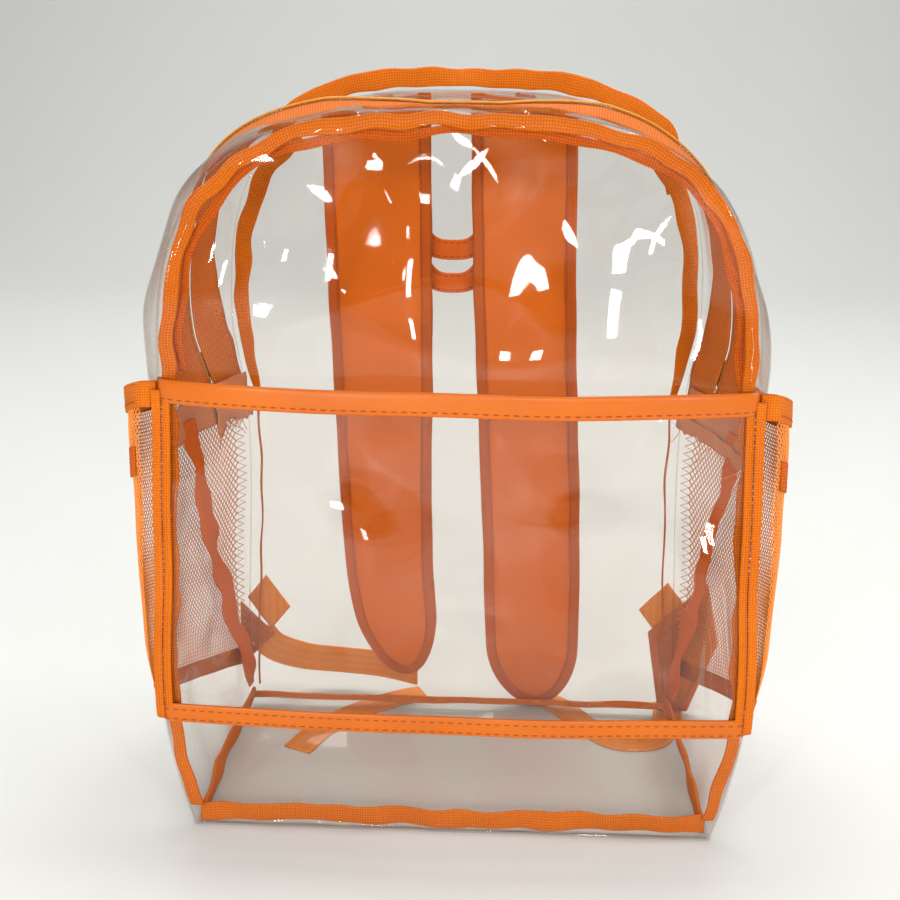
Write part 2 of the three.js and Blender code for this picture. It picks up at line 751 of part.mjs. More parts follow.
// The slider clamps the coil near the left end of the zip, and the pull hangs from its pin
function addSlider() {
  const share = -shareAtHeight(frontLine, zipEndHeight + sliderHeightAboveEnd);
  const line = zipLineAt(share);
  const step = 0.01;
  const place = gussetPoint(share, line);
  const up = gussetPoint(share + step, line).sub(place).normalize();
  const along = gussetPoint(share, line + step).sub(place).normalize();
  const out = up.clone().cross(along).normalize();
  const axis = up.clone().cross(out).normalize();
  const frame = new THREE.Matrix4().makeBasis(out, axis, up);

  const earHeight = pinPlace + pinRadius - sliderTop;
  const earPlace = barrelWidth / 2 + runningGap + earThickness / 2;
  const pinLength = 2 * earPlace + earThickness;
  const ear = (sign) => boxSolid(earHeight + joinDepth, earThickness, 2 * barrelRadius, {
    x: sliderTop + (earHeight - joinDepth) / 2, y: sign * earPlace, z: 0,
  });
  const slider = boxSolid(sliderThickness, sliderWidth, sliderLength, {
    x: sliderTop - sliderThickness / 2, y: 0, z: 0,
  }).add(ear(-1)).add(ear(1)).add(roundSolid(pinRadius, pinLength, { x: pinPlace, y: 0, z: 0 }));

  const bladeTop = -barrelRadius - runningGap - neckDrop;
  const neckLength = joinDepth - bladeTop;
  const bladeLength = pullLength + bladeTop - pullWidth / 2;
  const blade = boxSolid(pullThickness, pullWidth, bladeLength, { x: 0, y: 0, z: bladeTop - bladeLength / 2 })
    .add(toSolid(
      new THREE.CylinderGeometry(pullWidth / 2, pullWidth / 2, pullThickness, 20),
      new THREE.Matrix4().makeTranslation(0, 0, bladeTop - bladeLength)
        .multiply(new THREE.Matrix4().makeRotationZ(Math.PI / 2)),
    ));
  const barrel = roundSolid(barrelRadius, barrelWidth, { x: 0, y: 0, z: 0 });
  const neck = boxSolid(pullThickness, barrelWidth, neckLength, { x: 0, y: 0, z: -neckLength / 2 });
  const bore = roundSolid(pinRadius + runningGap, 2 * barrelWidth, { x: 0, y: 0, z: 0 });
  const pull = barrel.add(neck).add(blade).subtract(bore);

  const sliderGroup = new THREE.Group();
  sliderGroup.quaternion.setFromRotationMatrix(frame);
  sliderGroup.position.copy(place);
  const sliderMesh = new THREE.Mesh(fromSolid(slider), greyMetal);
  sliderMesh.name = 'zip_slider';
  const pullMesh = new THREE.Mesh(fromSolid(pull), greyMetal);
  pullMesh.name = 'zip_pull';
  pullMesh.position.x = pinPlace;
  const towardsPlumb = Math.atan2(out.z, up.z);
  pullMesh.rotation.y = towardsPlumb;
  sliderGroup.add(sliderMesh, pullMesh);
  bag.add(sliderGroup);
}

// Height of the back seam's arch at a distance from its middle
function archHeightAt(x) {
  const share = Math.min(Math.abs(x) / (backHalfWidth * backSides[backSides.length - 1].half), 1);
  return backShoulderHeight + (backHeight - backShoulderHeight) * (1 - share ** archPower) ** (1 / archPower);
}

const backOuterFace = (x, z) => backY + vinylWall + domeAt(backLine, backDome, x, z);

// The strap's front face, which bows away from the back panel between its top and its bottom
function strapFaceY(bottom, x, z) {
  const share = THREE.MathUtils.clamp((z - bottom) / (backHeight - bottom), 0, 1);
  return backOuterFace(x, z) + strapSeat + strapBow * Math.sin(Math.PI * share);
}

// The edge of a strap: down its left side, round its end and up its right side, with the way out
function strapOutline(strap, inset) {
  const centre = readTable(strap.rows, 'centre');
  const half = readTable(strap.rows, 'half');
  const at = (z, sign) => centre(z / backHeight) + sign * half(z / backHeight);
  const roundStart = strap.bottom + strapEndRound;
  const straightSteps = 12;
  const endSteps = 12;
  const points = [];
  const side = (sign) => {
    const top = archHeightAt(at(backHeight, sign)) - strapTopGap;
    return (k) => {
      const z = THREE.MathUtils.lerp(top, roundStart, k / straightSteps);
      return new THREE.Vector2(at(z, sign), z);
    };
  };
  const left = side(-1);
  const right = side(1);
  for (let k = 0; k < straightSteps; k += 1) points.push(left(k));
  for (let k = 0; k <= endSteps; k += 1) {
    const angle = (Math.PI * k) / endSteps;
    const z = roundStart - strapEndRound * Math.sin(angle);
    const middle = centre(z / backHeight);
    points.push(new THREE.Vector2(middle - half(z / backHeight) * Math.cos(angle), z));
  }
  for (let k = straightSteps - 1; k >= 0; k -= 1) points.push(right(k));
  return points.map((point, i) => {
    const before = points[Math.max(i - 1, 0)];
    const after = points[Math.min(i + 1, points.length - 1)];
    const ahead = after.clone().sub(before).normalize();
    const out = new THREE.Vector2(ahead.y, -ahead.x);
    return { edge: point.clone().addScaledVector(out, -inset), out };
  });
}

// A padded strap with a tape that binds both sides and the end
function addStrap(side, strap) {
  const place = (point, proud) => new THREE.Vector3(
    point.x,
    strapFaceY(strap.bottom, point.x, point.y) - proud,
    point.y,
  );
  const body = strapOutline(strap, strapBindingWidth + seamGap);
  const last = body.length - 1;
  const bodyRows = last / 2 - 1;
  const bodyPoint = (across, down) => {
    const k = Math.round(down * bodyRows);
    return place(body[k].edge.clone().lerp(body[last - k].edge, across), 0);
  };
  addPiece(`shoulder_strap_${side}`, wallGeometry(bodyPoint, 4, bodyRows, strapThickness), orangeNylon);
  const tape = strapOutline(strap, 0);
  const tapePoint = (along, across) => {
    const { edge, out } = tape[Math.round(along * last)];
    return place(edge.clone().addScaledVector(out, (across - 1) * strapBindingWidth), strapBindingProud);
  };
  addPiece(`strap_binding_${side}`, wallGeometry(tapePoint, last, 1, strapThickness + 2 * strapBindingProud),
    orangeTape);
}

// Flat webbing along a route; its face is level where lean is 0 and upright where it is 1
function webbingGeometry(route) {
  const curve = new THREE.CatmullRomCurve3(
    route.map((point) => new THREE.Vector3(point.x, backY + point.back, point.z)),
    false,
    'centripetal',
  );
  const lean = route[0].lean;
  const up = new THREE.Vector3(0, 0, 1);
  const pointAt = (along, across) => {
    const ahead = curve.getTangent(along);
    const level = up.clone().cross(ahead).normalize();
    const direction = level.lerp(up, lean).normalize();
    return curve.getPoint(along).addScaledVector(direction, (across - 0.5) * webbingWidth);
  };
  return wallGeometry(pointAt, 24, 1, webbingThickness);
}

function addWebbing() {
  addPiece('strap_webbing_left', webbingGeometry(leftWebbingRoute), orangeTape);
  addPiece('webbing_tail_left', webbingGeometry(leftTailRoute), orangeTape);
  addPiece('strap_webbing_right', webbingGeometry(rightWebbingRoute), orangeTape);
}

// A flat piece of cloth behind the back panel, such as a tab to which the webbing is sewn
function addFlatPiece(name, corners, standOff, thickness) {
  const shape = new THREE.Shape(corners.map(({ x, z }) => new THREE.Vector2(x, z)));
  const geometry = new THREE.ExtrudeGeometry(shape, { depth: thickness, bevelEnabled: false });
  const cloth = addPiece(name, geometry, orangeTape);
  cloth.rotation.x = Math.PI / 2;
  cloth.position.y = backY + vinylWall + standOff + thickness;
}

// One leaf of the grab handle: a strip that droops from the top seam behind the straps
function handleLeafGeometry(leaf) {
  const drop = handleDrop + leaf * handleLeafStep;
  const standOff = strapThickness + strapBindingProud + stitchClearance
    + leaf * (handleThickness + stitchClearance);
  const pathAt = (along) => {
    const reach = 2 * along - 1;
    const x = handleCentre + handleHalfSpan * reach;
    const top = archHeightAt(x) - strapTopGap;
    return new THREE.Vector2(x, top - drop * (1 - Math.abs(reach) ** archPower));
  };
  const step = 0.001;
  const pointAt = (along, across) => {
    const point = pathAt(along);
    const ahead = pathAt(Math.min(along + step, 1)).sub(pathAt(Math.max(along - step, 0))).normalize();
    const place = point.add(new THREE.Vector2(ahead.y, -ahead.x).multiplyScalar((across - 0.5) * handleWidth));
    const y = strapFaceY(backLift, place.x, place.y) + standOff;
    return new THREE.Vector3(place.x, y, place.y);
  };
  return wallGeometry(pointAt, 24, 1, handleThickness);
}

function addHandle() {
  addPiece('grab_handle_inner', handleLeafGeometry(0), orangeNylon);
  addPiece('grab_handle_outer', handleLeafGeometry(1), orangeNylon);
}

addPanels();
addBottom();
addZipGusset();
addSideGussets();
addSeamTapes();
addBottomTapes();
addFrontPocket();
addNetPockets();
addSlider();
addStrap('left', leftStrap);
addStrap('right', rightStrap);
addWebbing();
addFlatPiece('anchor_tab_left', leftTabCorners, stitchClearance, tabThickness);
addFlatPiece('anchor_tab_right', rightTabCorners, stitchClearance, tabThickness);
addFlatPiece('webbing_end_left', leftEnd.corners, leftEnd.standOff, webbingThickness);
addFlatPiece('webbing_end_right', rightEnd.corners, rightEnd.standOff, webbingThickness);
addHandle();

// The middle of the footprint, on the ground, becomes the origin
bag.updateMatrixWorld(true);
const reach = new THREE.Box3().setFromObject(bag, true);
const footprint = reach.getCenter(new THREE.Vector3());
bag.position.set(-footprint.x, -footprint.y, -reach.min.z);

export default bag;
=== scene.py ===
import math
import bpy
import numpy as np
from mathutils import Matrix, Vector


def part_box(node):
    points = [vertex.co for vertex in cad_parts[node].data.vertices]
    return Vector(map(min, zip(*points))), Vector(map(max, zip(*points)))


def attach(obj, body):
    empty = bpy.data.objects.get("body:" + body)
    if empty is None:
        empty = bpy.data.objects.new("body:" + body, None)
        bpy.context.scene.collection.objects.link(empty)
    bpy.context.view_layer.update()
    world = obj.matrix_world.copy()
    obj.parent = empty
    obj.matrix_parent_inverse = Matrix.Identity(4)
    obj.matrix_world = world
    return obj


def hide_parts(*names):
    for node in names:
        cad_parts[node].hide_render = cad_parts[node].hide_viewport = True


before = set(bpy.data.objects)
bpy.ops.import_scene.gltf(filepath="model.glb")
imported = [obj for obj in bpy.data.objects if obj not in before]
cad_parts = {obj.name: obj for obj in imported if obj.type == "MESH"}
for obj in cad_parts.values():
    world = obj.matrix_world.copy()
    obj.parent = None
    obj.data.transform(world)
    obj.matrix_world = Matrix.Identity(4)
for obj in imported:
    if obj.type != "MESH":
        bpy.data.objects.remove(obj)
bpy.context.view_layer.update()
scene = bpy.context.scene

# The bag, in millimetres: x across, y from the front seam (-75) to the back seam (75), z up from the floor
bag = {
    "depth": 150, "wall": 1.2, "gap": 0.3, "bulge": 30, "bulgePower": 0.8, "archPower": 3,
    "frontHeight": 414, "frontHalf": 166, "frontShoulder": 262, "frontDome": 8,
    "backHeight": 417, "backHalf": 148, "backShoulder": 270, "backDome": 2, "backLift": 4,
    "frontSides": [(0, 0.91), (0.12, 0.96), (0.29, 1), (0.6, 0.98), (1, 0.955)],
    "backSides": [(0, 0.99), (0.3, 0.965), (0.66, 0.94), (0.82, 0.95), (1, 1)],
    "leftBulge": [(0, 0), (0.12, 0.33), (0.36, 0.4), (0.56, 0.6), (0.68, 0.74), (0.82, 0.55), (0.92, 0.36),
                  (1, -0.1)],
    "rightBulge": [(0, 0), (0.12, 0.33), (0.36, 0.4), (0.56, 0.54), (0.68, 0.54), (0.82, 0.19), (0.92, 0),
                   (1, -0.1)],
}
frontY = -bag["depth"] / 2
backY = bag["depth"] / 2
panelLow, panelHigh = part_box("front_panel")
# from the bag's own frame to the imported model's
shift = np.array([(panelLow[0] + panelHigh[0]) * 500, panelHigh[1] * 1000 - frontY, 0])


# small helpers for shapes


def curve(rows):
    # smooth line through (height, value) rows: a cubic between each two, with the slope of their neighbours
    h, v = np.array(rows, float).T
    before = np.maximum(np.arange(len(h)) - 1, 0)
    after = np.minimum(np.arange(len(h)) + 1, len(h) - 1)
    slope = (v[after] - v[before]) / (h[after] - h[before])

    def at(height):
        i = np.clip(np.searchsorted(h, height, side="left") - 1, 0, len(h) - 2)
        span = h[i + 1] - h[i]
        s = np.clip((height - h[i]) / span, 0, 1)
        bend = s * (1 - s) ** 2 * slope[i] * span + s * s * (s - 1) * slope[i + 1] * span
        return v[i] + (v[i + 1] - v[i]) * s * s * (3 - 2 * s) + bend

    return at


def seamLine(height, halfWidth, shoulder, sides, lift):
    # half a seam: a superellipse arch from the top centre, then the side down to the bottom corner
    half = curve(sides)
    angle = np.linspace(0, math.pi / 2, 161)
    across, up = np.sin(angle) ** (2 / bag["archPower"]), np.cos(angle) ** (2 / bag["archPower"])
    shoulderHalf = halfWidth * half(np.array([1.0]))[0]
    power = bag["archPower"] - 1
    nx, nz = across**power / shoulderHalf, up**power / (height - shoulder)
    size = np.hypot(nx, nz)
    share = np.linspace(1, 0, 81)[1:]
    x = np.concatenate([shoulderHalf * across, halfWidth * half(share)])
    z = np.concatenate([shoulder + (height - shoulder) * up, lift + (shoulder - lift) * share])
    at = np.concatenate([[0], np.cumsum(np.hypot(np.diff(x), np.diff(z)))])
    return {
        "x": x, "z": z, "at": at, "length": at[-1],
        "nx": np.concatenate([nx / size, np.ones(80)]), "nz": np.concatenate([nz / size, np.zeros(80)]),
    }


frontLine = seamLine(bag["frontHeight"], bag["frontHalf"], bag["frontShoulder"], bag["frontSides"], 0)
backLine = seamLine(bag["backHeight"], bag["backHalf"], bag["backShoulder"], bag["backSides"], bag["backLift"])
leftBulge, rightBulge = curve(bag["leftBulge"]), curve(bag["rightBulge"])


def seamAt(line, share):
    # share -1 is the left bottom corner, 0 the top centre, 1 the right bottom corner
    distance = np.abs(share) * line["length"]
    side = np.where(share < 0, -1, 1)
    x, z, nx, nz = (np.interp(distance, line["at"], line[key]) for key in ("x", "z", "nx", "nz"))
    return side * x, z, side * nx, nz


def shareAtHeight(line, height):
    # the share of a seam's length at which it passes a height
    return np.interp(-height, -line["z"], line["at"]) / line["length"]


def halfAt(line, z):
    # half the width between a seam's two sides at a height
    return np.interp(z, line["z"][::-1], line["x"][::-1])


def bulgeAt(side, z, depth):
    # how far the gusset bows out: a half sine over the depth, stronger at the shoulders
    height = z / bag["frontHeight"]
    share = np.where(side < 0, leftBulge(height), rightBulge(height))
    return bag["bulge"] * share * np.sin(np.pi * np.clip(depth, 0, 1) ** bag["bulgePower"])


def gusset(share, depth, lift=0.0):
    # a point between the front seam (depth 0) and the back seam (depth 1), raised outward by bulge and lift
    fx, fz, fnx, fnz = seamAt(frontLine, share)
    bx, bz, bnx, bnz = seamAt(backLine, share)
    mix = lambda a, b: a + (b - a) * depth
    nx, nz = mix(fnx, bnx), mix(fnz, bnz)
    size = np.hypot(nx, nz)
    z = mix(fz, bz)
    offset = bulgeAt(share, z, depth) + lift
    y = mix(frontY + bag["gap"], backY - bag["gap"]) + 0 * share
    return np.stack(np.broadcast_arrays(mix(fx, bx) + nx / size * offset, y, z + nz / size * offset), -1)


def dome(line, amount, x, z):
    # a panel swells most at its middle: 1 - (x / half)^2 across, 1 - rise^4 up
    half = np.maximum(halfAt(line, z), 1)
    rise = 2 * z / line["z"][0] - 1
    return amount * np.maximum(0, 1 - (x / half) ** 2) * np.maximum(0, 1 - rise**4)


def frontFace(x, z):
    # the front panel's outer face: the seam's plane, the wall and the dome
    return frontY - bag["wall"] - dome(frontLine, bag["frontDome"], x, z)


def backFace(x, z):
    return backY + bag["wall"] + dome(backLine, bag["backDome"], x, z)


def ripple(a, b, height, length, seed):
    # soft waves over a sheet: the sum of six sines that run different ways, about one length apart
    rng = np.random.default_rng(seed)
    total = 0
    angles, phases, stretches = rng.uniform(0, 6.28, 6), rng.uniform(0, 6.28, 6), rng.uniform(0.6, 1.7, 6)
    for angle, phase, stretch in zip(angles, phases, stretches):
        run = a * math.cos(angle) + b * math.sin(angle)
        total = total + np.sin(run * 6.28 / (length * stretch) + phase)
    return height * total / 2.5


def unit(v):
    # each vector divided by its length
    return v / np.maximum(np.linalg.norm(v, axis=-1, keepdims=True), 1e-9)


def along(points):
    # the direction in which a path runs at each of its points
    return unit(np.gradient(points, axis=0))


def distances(points, axis):
    # running length along one axis of a grid, taken at its middle line, in metres
    middle = np.take(points, points.shape[1 - axis] // 2, axis=1 - axis)
    return np.concatenate([[0], np.cumsum(np.linalg.norm(np.diff(middle, axis=0), axis=1))]) / 1000


# small helpers for pieces


def piece(name, verts, faces, uvs, material, nodes=()):
    # one mesh object from points in millimetres, with its material, slot and the CAD nodes it stands for
    mesh = bpy.data.meshes.new(name)
    points = (np.asarray(verts) + shift) / 1000
    mesh.from_pydata(points.tolist(), [], faces)
    layer = mesh.uv_layers.new(name="cloth")
    layer.data.foreach_set("uv", np.asarray(uvs, np.float32).ravel())
    mesh.polygons.foreach_set("use_smooth", np.full(len(mesh.polygons), True))
    mesh.materials.append(material)
    obj = bpy.data.objects.new(name, mesh)
    scene.collection.objects.link(obj)
    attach(obj, "bag")
    if nodes:
        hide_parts(*nodes)
    return obj


def addWall(obj, thickness):
    # a Solidify modifier gives half the wall to each side
    wall = obj.modifiers.new("wall", "SOLIDIFY")
    wall.thickness, wall.offset = thickness / 1000, 0
    return obj


def gridFaces(rows, columns, closed):
    # quads between neighbours of a rows x columns grid, with the (row, column) of each corner for its uv
    r, c = np.meshgrid(np.arange(rows - 1), np.arange(columns if closed else columns - 1), indexing="ij")
    r, c = r.ravel(), c.ravel()
    corners = [(r, c), (r, c + 1), (r + 1, c + 1), (r + 1, c)]
    quads = np.stack([row * columns + column % columns for row, column in corners], 1)
    return quads, np.stack([np.stack(corner, -1) for corner in corners], 1)


def sheet(name, points, material, nodes=(), thickness=0.5):
    # an open grid of points that gets a wall
    rows, columns = points.shape[:2]
    quads, corner = gridFaces(rows, columns, False)
    u, v = np.meshgrid(distances(points, 1), distances(points, 0))
    uvs = np.stack([u, v], -1)[corner[..., 0], corner[..., 1]]
    return addWall(piece(name, points.reshape(-1, 3), quads.tolist(), uvs, material, nodes), thickness)


def panelSheet(name, line, middle, faceAt, material, nodes, grow=1.2, rings=44, loop=220):
    # rings from the seam line to the panel's middle: edge + (middle - edge) * t
    share = np.linspace(-1, 1, loop)
    x, z, nx, nz = seamAt(line, share)
    x, z = x + nx * grow, z + nz * grow
    foot = np.linspace(x[-1], x[0], 50)[1:-1]
    x, z = np.concatenate([x, foot]), np.concatenate([z, np.full(48, z[-1])])
    t = np.linspace(0, 1, rings)[:, None] ** 0.85
    gx, gz = x + (middle[0] - x) * t, z + (middle[1] - z) * t
    points = np.stack([gx, faceAt(gx, gz, t), gz], -1)
    count = points.shape[1]
    quads, corner = gridFaces(rings - 1, count, True)
    flat = points[:-1].reshape(-1, 3)
    fan = [[(rings - 2) * count + k, (rings - 2) * count + (k + 1) % count, len(flat)] for k in range(count)]
    flat = np.concatenate([flat, points[-1, :1]])
    faces = quads.tolist() + fan
    uv = flat[:, [0, 2]] / 1000
    loops = np.concatenate([np.ravel(f) for f in (quads, fan)])
    return addWall(piece(name, flat, faces, uv[loops], material, nodes), 0.5)


def sweep(name, path, across, out, profile, material, nodes=(), wide=1.0):
    # a closed section carried along a path: path + across * px * wide + out * pz
    path, across, out = (np.asarray(v, float) for v in (path, across, out))
    wide = np.broadcast_to(wide, len(path))[:, None, None]
    turn = np.sum(np.cross(across, out) * np.gradient(path, axis=0))
    profile = np.asarray(profile, float)
    if turn < 0:
        profile = profile[::-1]
    ring = path[:, None] + across[:, None] * profile[:, :1] * wide + out[:, None] * profile[:, 1:]
    rows, columns = ring.shape[:2]
    quads, corner = gridFaces(rows, columns, True)
    edge = np.concatenate([profile, profile[:1]])
    v = np.concatenate([[0], np.cumsum(np.linalg.norm(np.diff(path, axis=0), axis=1))]) / 1000
    uvs = np.stack(np.broadcast_arrays((edge[:, 0] / 1000)[None], v[:, None]), -1)
    caps = [list(range(columns))[::-1], list(range((rows - 1) * columns, rows * columns))]
    capUvs = np.concatenate([uvs[0, :columns][::-1], uvs[-1, :columns]])
    allUvs = np.concatenate([uvs[corner[..., 0], corner[..., 1]].reshape(-1, 2), capUvs])
    return piece(name, ring.reshape(-1, 3), quads.tolist() + caps, allUvs, material, nodes)


def flatProfile(width, thickness, steps=6):
    # a strip's section: flat faces with half-round edges
    angle = np.linspace(-math.pi / 2, math.pi / 2, steps)
    r = thickness / 2
    right = np.stack([width / 2 - r + r * np.cos(angle), r * np.sin(angle)], 1)
    top = np.stack([np.linspace(width / 2 - r, r - width / 2, 7)[1:-1], np.full(5, r)], 1)
    return np.concatenate([right, top, -right, -top])


def roundProfile(width, thickness, power=2.5, count=28):
    # a superellipse section
    angle = np.linspace(0, 2 * math.pi, count, endpoint=False)
    c, s = np.cos(angle), np.sin(angle)
    return np.stack([width / 2 * np.sign(c) * np.abs(c) ** (2 / power),
                     thickness / 2 * np.sign(s) * np.abs(s) ** (2 / power)], 1)


def beads(name, centres, ahead, out, length, width, height, material, slot, nodes=(), rounds=6):
    # many small capsules, such as stitches or zip teeth: rings of a stretched ball, placed by two axes each
    lat = np.array([-1, -0.8, -0.35, 0.35, 0.8, 1])
    ring = np.array([0.02, 0.62, 1, 1, 0.62, 0.02])
    angle = np.linspace(0, 2 * math.pi, rounds, endpoint=False)
    a = (lat[:, None] * length / 2) + 0 * angle
    b = ring[:, None] * np.cos(angle) * width / 2
    c = ring[:, None] * np.sin(angle) * height / 2
    ahead, out = unit(ahead), unit(out)
    side = unit(np.cross(out, ahead))
    verts = (centres[:, None, None] + a[None, ..., None] * ahead[:, None, None]
             + b[None, ..., None] * side[:, None, None] + c[None, ..., None] * out[:, None, None])
    quads, _ = gridFaces(len(lat), rounds, True)
    size = len(lat) * rounds
    caps = np.array([list(range(rounds))[::-1], list(range(size - rounds, size))])
    starts = (np.arange(len(centres)) * size)[:, None, None]
    faces = (quads + starts).reshape(-1, 4).tolist() + (caps + starts).reshape(-1, rounds).tolist()
    loops = len(centres) * (quads.size + caps.size)
    return piece(name, verts.reshape(-1, 3), faces, np.zeros((loops, 2)), material, nodes)


def strands(name, lines, normals, width, thickness, material, nodes=()):
    # many yarns at once: each line of points gets a four-sided section laid on its surface
    ahead = unit(np.gradient(lines, axis=1))
    side = unit(np.cross(normals, ahead))
    normals = unit(normals)
    corners = [(1, 0), (0, 1), (-1, 0), (0, -1)]
    ring = np.stack([lines + side * a * width / 2 + normals * b * thickness / 2 for a, b in corners], 2)
    count, steps = lines.shape[:2]
    quads, corner = gridFaces(steps, 4, True)
    starts = (np.arange(count) * steps * 4)[:, None, None]
    caps = np.array([[0, 1, 2, 3][::-1], [steps * 4 - 4, steps * 4 - 3, steps * 4 - 2, steps * 4 - 1]])
    faces = np.concatenate([(quads + starts).reshape(-1, 4), (caps + starts).reshape(-1, 4)])
    return piece(name, ring.reshape(-1, 3), faces.tolist(), np.zeros((faces.size, 2)), material, nodes)


def smoothPath(points, count):
    # a Catmull-Rom curve through the points, sampled evenly by its parameter
    p = np.array(points, float)
    p = np.concatenate([[2 * p[0] - p[1]], p, [2 * p[-1] - p[-2]]])
    s = np.linspace(0, len(p) - 3 - 1e-6, count)
    i = s.astype(int)
    t = (s - i)[:, None]
    a, b, c, d = p[i], p[i + 1], p[i + 2], p[i + 3]
    return 0.5 * (2 * b + (c - a) * t + (2 * a - 5 * b + 4 * c - d) * t**2 + (3 * b - a - 3 * c + d) * t**3)


def pointsEvery(path, spacing, start=0.0):
    # places at even distances along a path, with its direction there
    at = np.concatenate([[0], np.cumsum(np.linalg.norm(np.diff(path, axis=0), axis=1))])
    where = np.arange(start + spacing / 2, at[-1] - start, spacing)
    pick = lambda values: np.stack([np.interp(where, at, values[:, k]) for k in range(3)], 1)
    return pick(path), unit(pick(along(path)))


def stitchRow(name, path, spacing, out, size, start=0.0):
    # stitches at even distances along a path; size is their length, width and height
    centres, ahead = pointsEvery(path, spacing, start)
    outward = np.tile(np.array(out, float), (len(centres), 1))
    return beads(name, centres, ahead, outward, *size, stitchThread, "orange_tape")


# materials


def linear(colour):
    # an sRGB hex value as linear light
    channels = [int(colour[k:k + 2], 16) / 255 for k in (0, 2, 4)]
    return [c / 12.92 if c <= 0.04045 else ((c + 0.055) / 1.055) ** 2.4 for c in channels] + [1.0]


def node(tree, kind, inputs=None, **settings):
    # adds a node with its settings; an input is a value, or a socket to link
    made = tree.nodes.new(kind)
    for key, value in settings.items():
        setattr(made, key, value)
    for key, value in (inputs or {}).items():
        if isinstance(value, bpy.types.NodeSocket):
            tree.links.new(value, made.inputs[key])
        else:
            made.inputs[key].default_value = value
    return made


def newMaterial(name):
    # an empty node material
    material = bpy.data.materials.new(name)
    material.use_nodes = True
    tree = material.node_tree
    tree.nodes.clear()
    return material, tree


def finishMaterial(tree, shader):
    node(tree, "ShaderNodeOutputMaterial", {"Surface": shader})


def blend(tree, share, low, high):
    # a colour between two, by a 0..1 value
    ramp = node(tree, "ShaderNodeMix", {"Factor": share}, data_type="RGBA")
    ramp.inputs[6].default_value = low if not isinstance(low, bpy.types.NodeSocket) else (1, 1, 1, 1)
    ramp.inputs[7].default_value = high if not isinstance(high, bpy.types.NodeSocket) else (1, 1, 1, 1)
    for index, value in ((6, low), (7, high)):
        if isinstance(value, bpy.types.NodeSocket):
            tree.links.new(value, ramp.inputs[index])
    return ramp.outputs[2]


def sumOf(tree, first, second, operation="ADD"):
    # two values joined by one step of arithmetic
    return node(tree, "ShaderNodeMath", {0: first, 1: second}, operation=operation).outputs[0]


def waveAlong(tree, coordinate, pitch):
    # a sine with the given pitch in millimetres, from 0 to 1
    turned = sumOf(tree, coordinate, 2 * math.pi * 1000 / pitch, "MULTIPLY")
    sine = node(tree, "ShaderNodeMath", {0: turned}, operation="SINE").outputs[0]
    half = node(tree, "ShaderNodeMath", {0: sine, 1: 0.5, 2: 0.5}, operation="MULTIPLY_ADD")
    return half.outputs[0]


def makeClearVinyl(name, tint, edgeTint, shine):
    # soft PVC film, calendered: glossy and nearly clear, warm grey where seen edge-on, with shallow buckles
    material, tree = newMaterial(name)
    place = node(tree, "ShaderNodeTexCoord").outputs["Object"]
    buckles = node(tree, "ShaderNodeTexNoise", {"Vector": place, "Scale": 12.0, "Detail": 0.0})
    bump = node(tree, "ShaderNodeBump", {
        "Height": buckles.outputs["Fac"], "Strength": 1.0, "Distance": 0.03,
    })
    facing = node(tree, "ShaderNodeLayerWeight", {"Blend": 0.5}).outputs["Facing"]
    grazing = sumOf(tree, facing, 5.0, "POWER")
    tinted = blend(tree, grazing, linear(tint), linear(edgeTint))
    through = node(tree, "ShaderNodeBsdfTransparent", {"Color": tinted})
    gloss = node(tree, "ShaderNodeBsdfPrincipled", {
        "Base Color": linear("fff8f5"), "Roughness": 0.04, "Metallic": 1.0, "Normal": bump.outputs["Normal"],
    })
    share = node(tree, "ShaderNodeMath", {0: grazing, 1: 0.5, 2: shine}, operation="MULTIPLY_ADD")
    mix = node(tree, "ShaderNodeMixShader", {0: share.outputs[0], 1: through.outputs[0], 2: gloss.outputs[0]})
    finishMaterial(tree, mix.outputs[0])
    return material


def makeWoven(name, light, dark, across, ahead, depth=0.5, roughness=0.75, sheen=0.2):
    # polyester yarn woven into tape: small raised dots in rows, with painted shade between the yarns, and a
    # soft sheen;
    # the real yarns are about half a millimetre, and they are drawn coarser so that they show
    material, tree = newMaterial(name)
    uv = node(tree, "ShaderNodeUVMap", uv_map="cloth").outputs[0]
    parts = node(tree, "ShaderNodeSeparateXYZ", {0: uv})
    place = node(tree, "ShaderNodeTexCoord").outputs["Object"]
    patches = node(tree, "ShaderNodeTexNoise", {"Vector": place, "Scale": 30.0, "Detail": 4.0})
    ribs = waveAlong(tree, parts.outputs[1], ahead)
    cords = waveAlong(tree, parts.outputs[0], across)
    dots = sumOf(tree, ribs, cords, "MULTIPLY")
    # the colour: painted shade between the yarns from the dots, and random tone from the patches
    height = sumOf(tree, dots, sumOf(tree, patches.outputs["Fac"], 0.4, "MULTIPLY"))
    share = node(tree, "ShaderNodeMapRange", {"Value": height, "From Min": 0.15, "From Max": 0.95})
    bump = node(tree, "ShaderNodeBump", {"Height": dots, "Strength": depth, "Distance": 0.0008})
    shader = node(tree, "ShaderNodeBsdfPrincipled", {
        "Base Color": blend(tree, share.outputs[0], linear(dark), linear(light)), "Roughness": roughness,
        "Sheen Weight": sheen, "Sheen Roughness": 0.5, "Sheen Tint": linear(light), "Specular IOR Level": 0.25,
        "Normal": bump.outputs["Normal"],
    })
    finishMaterial(tree, shader.outputs[0])
    return material


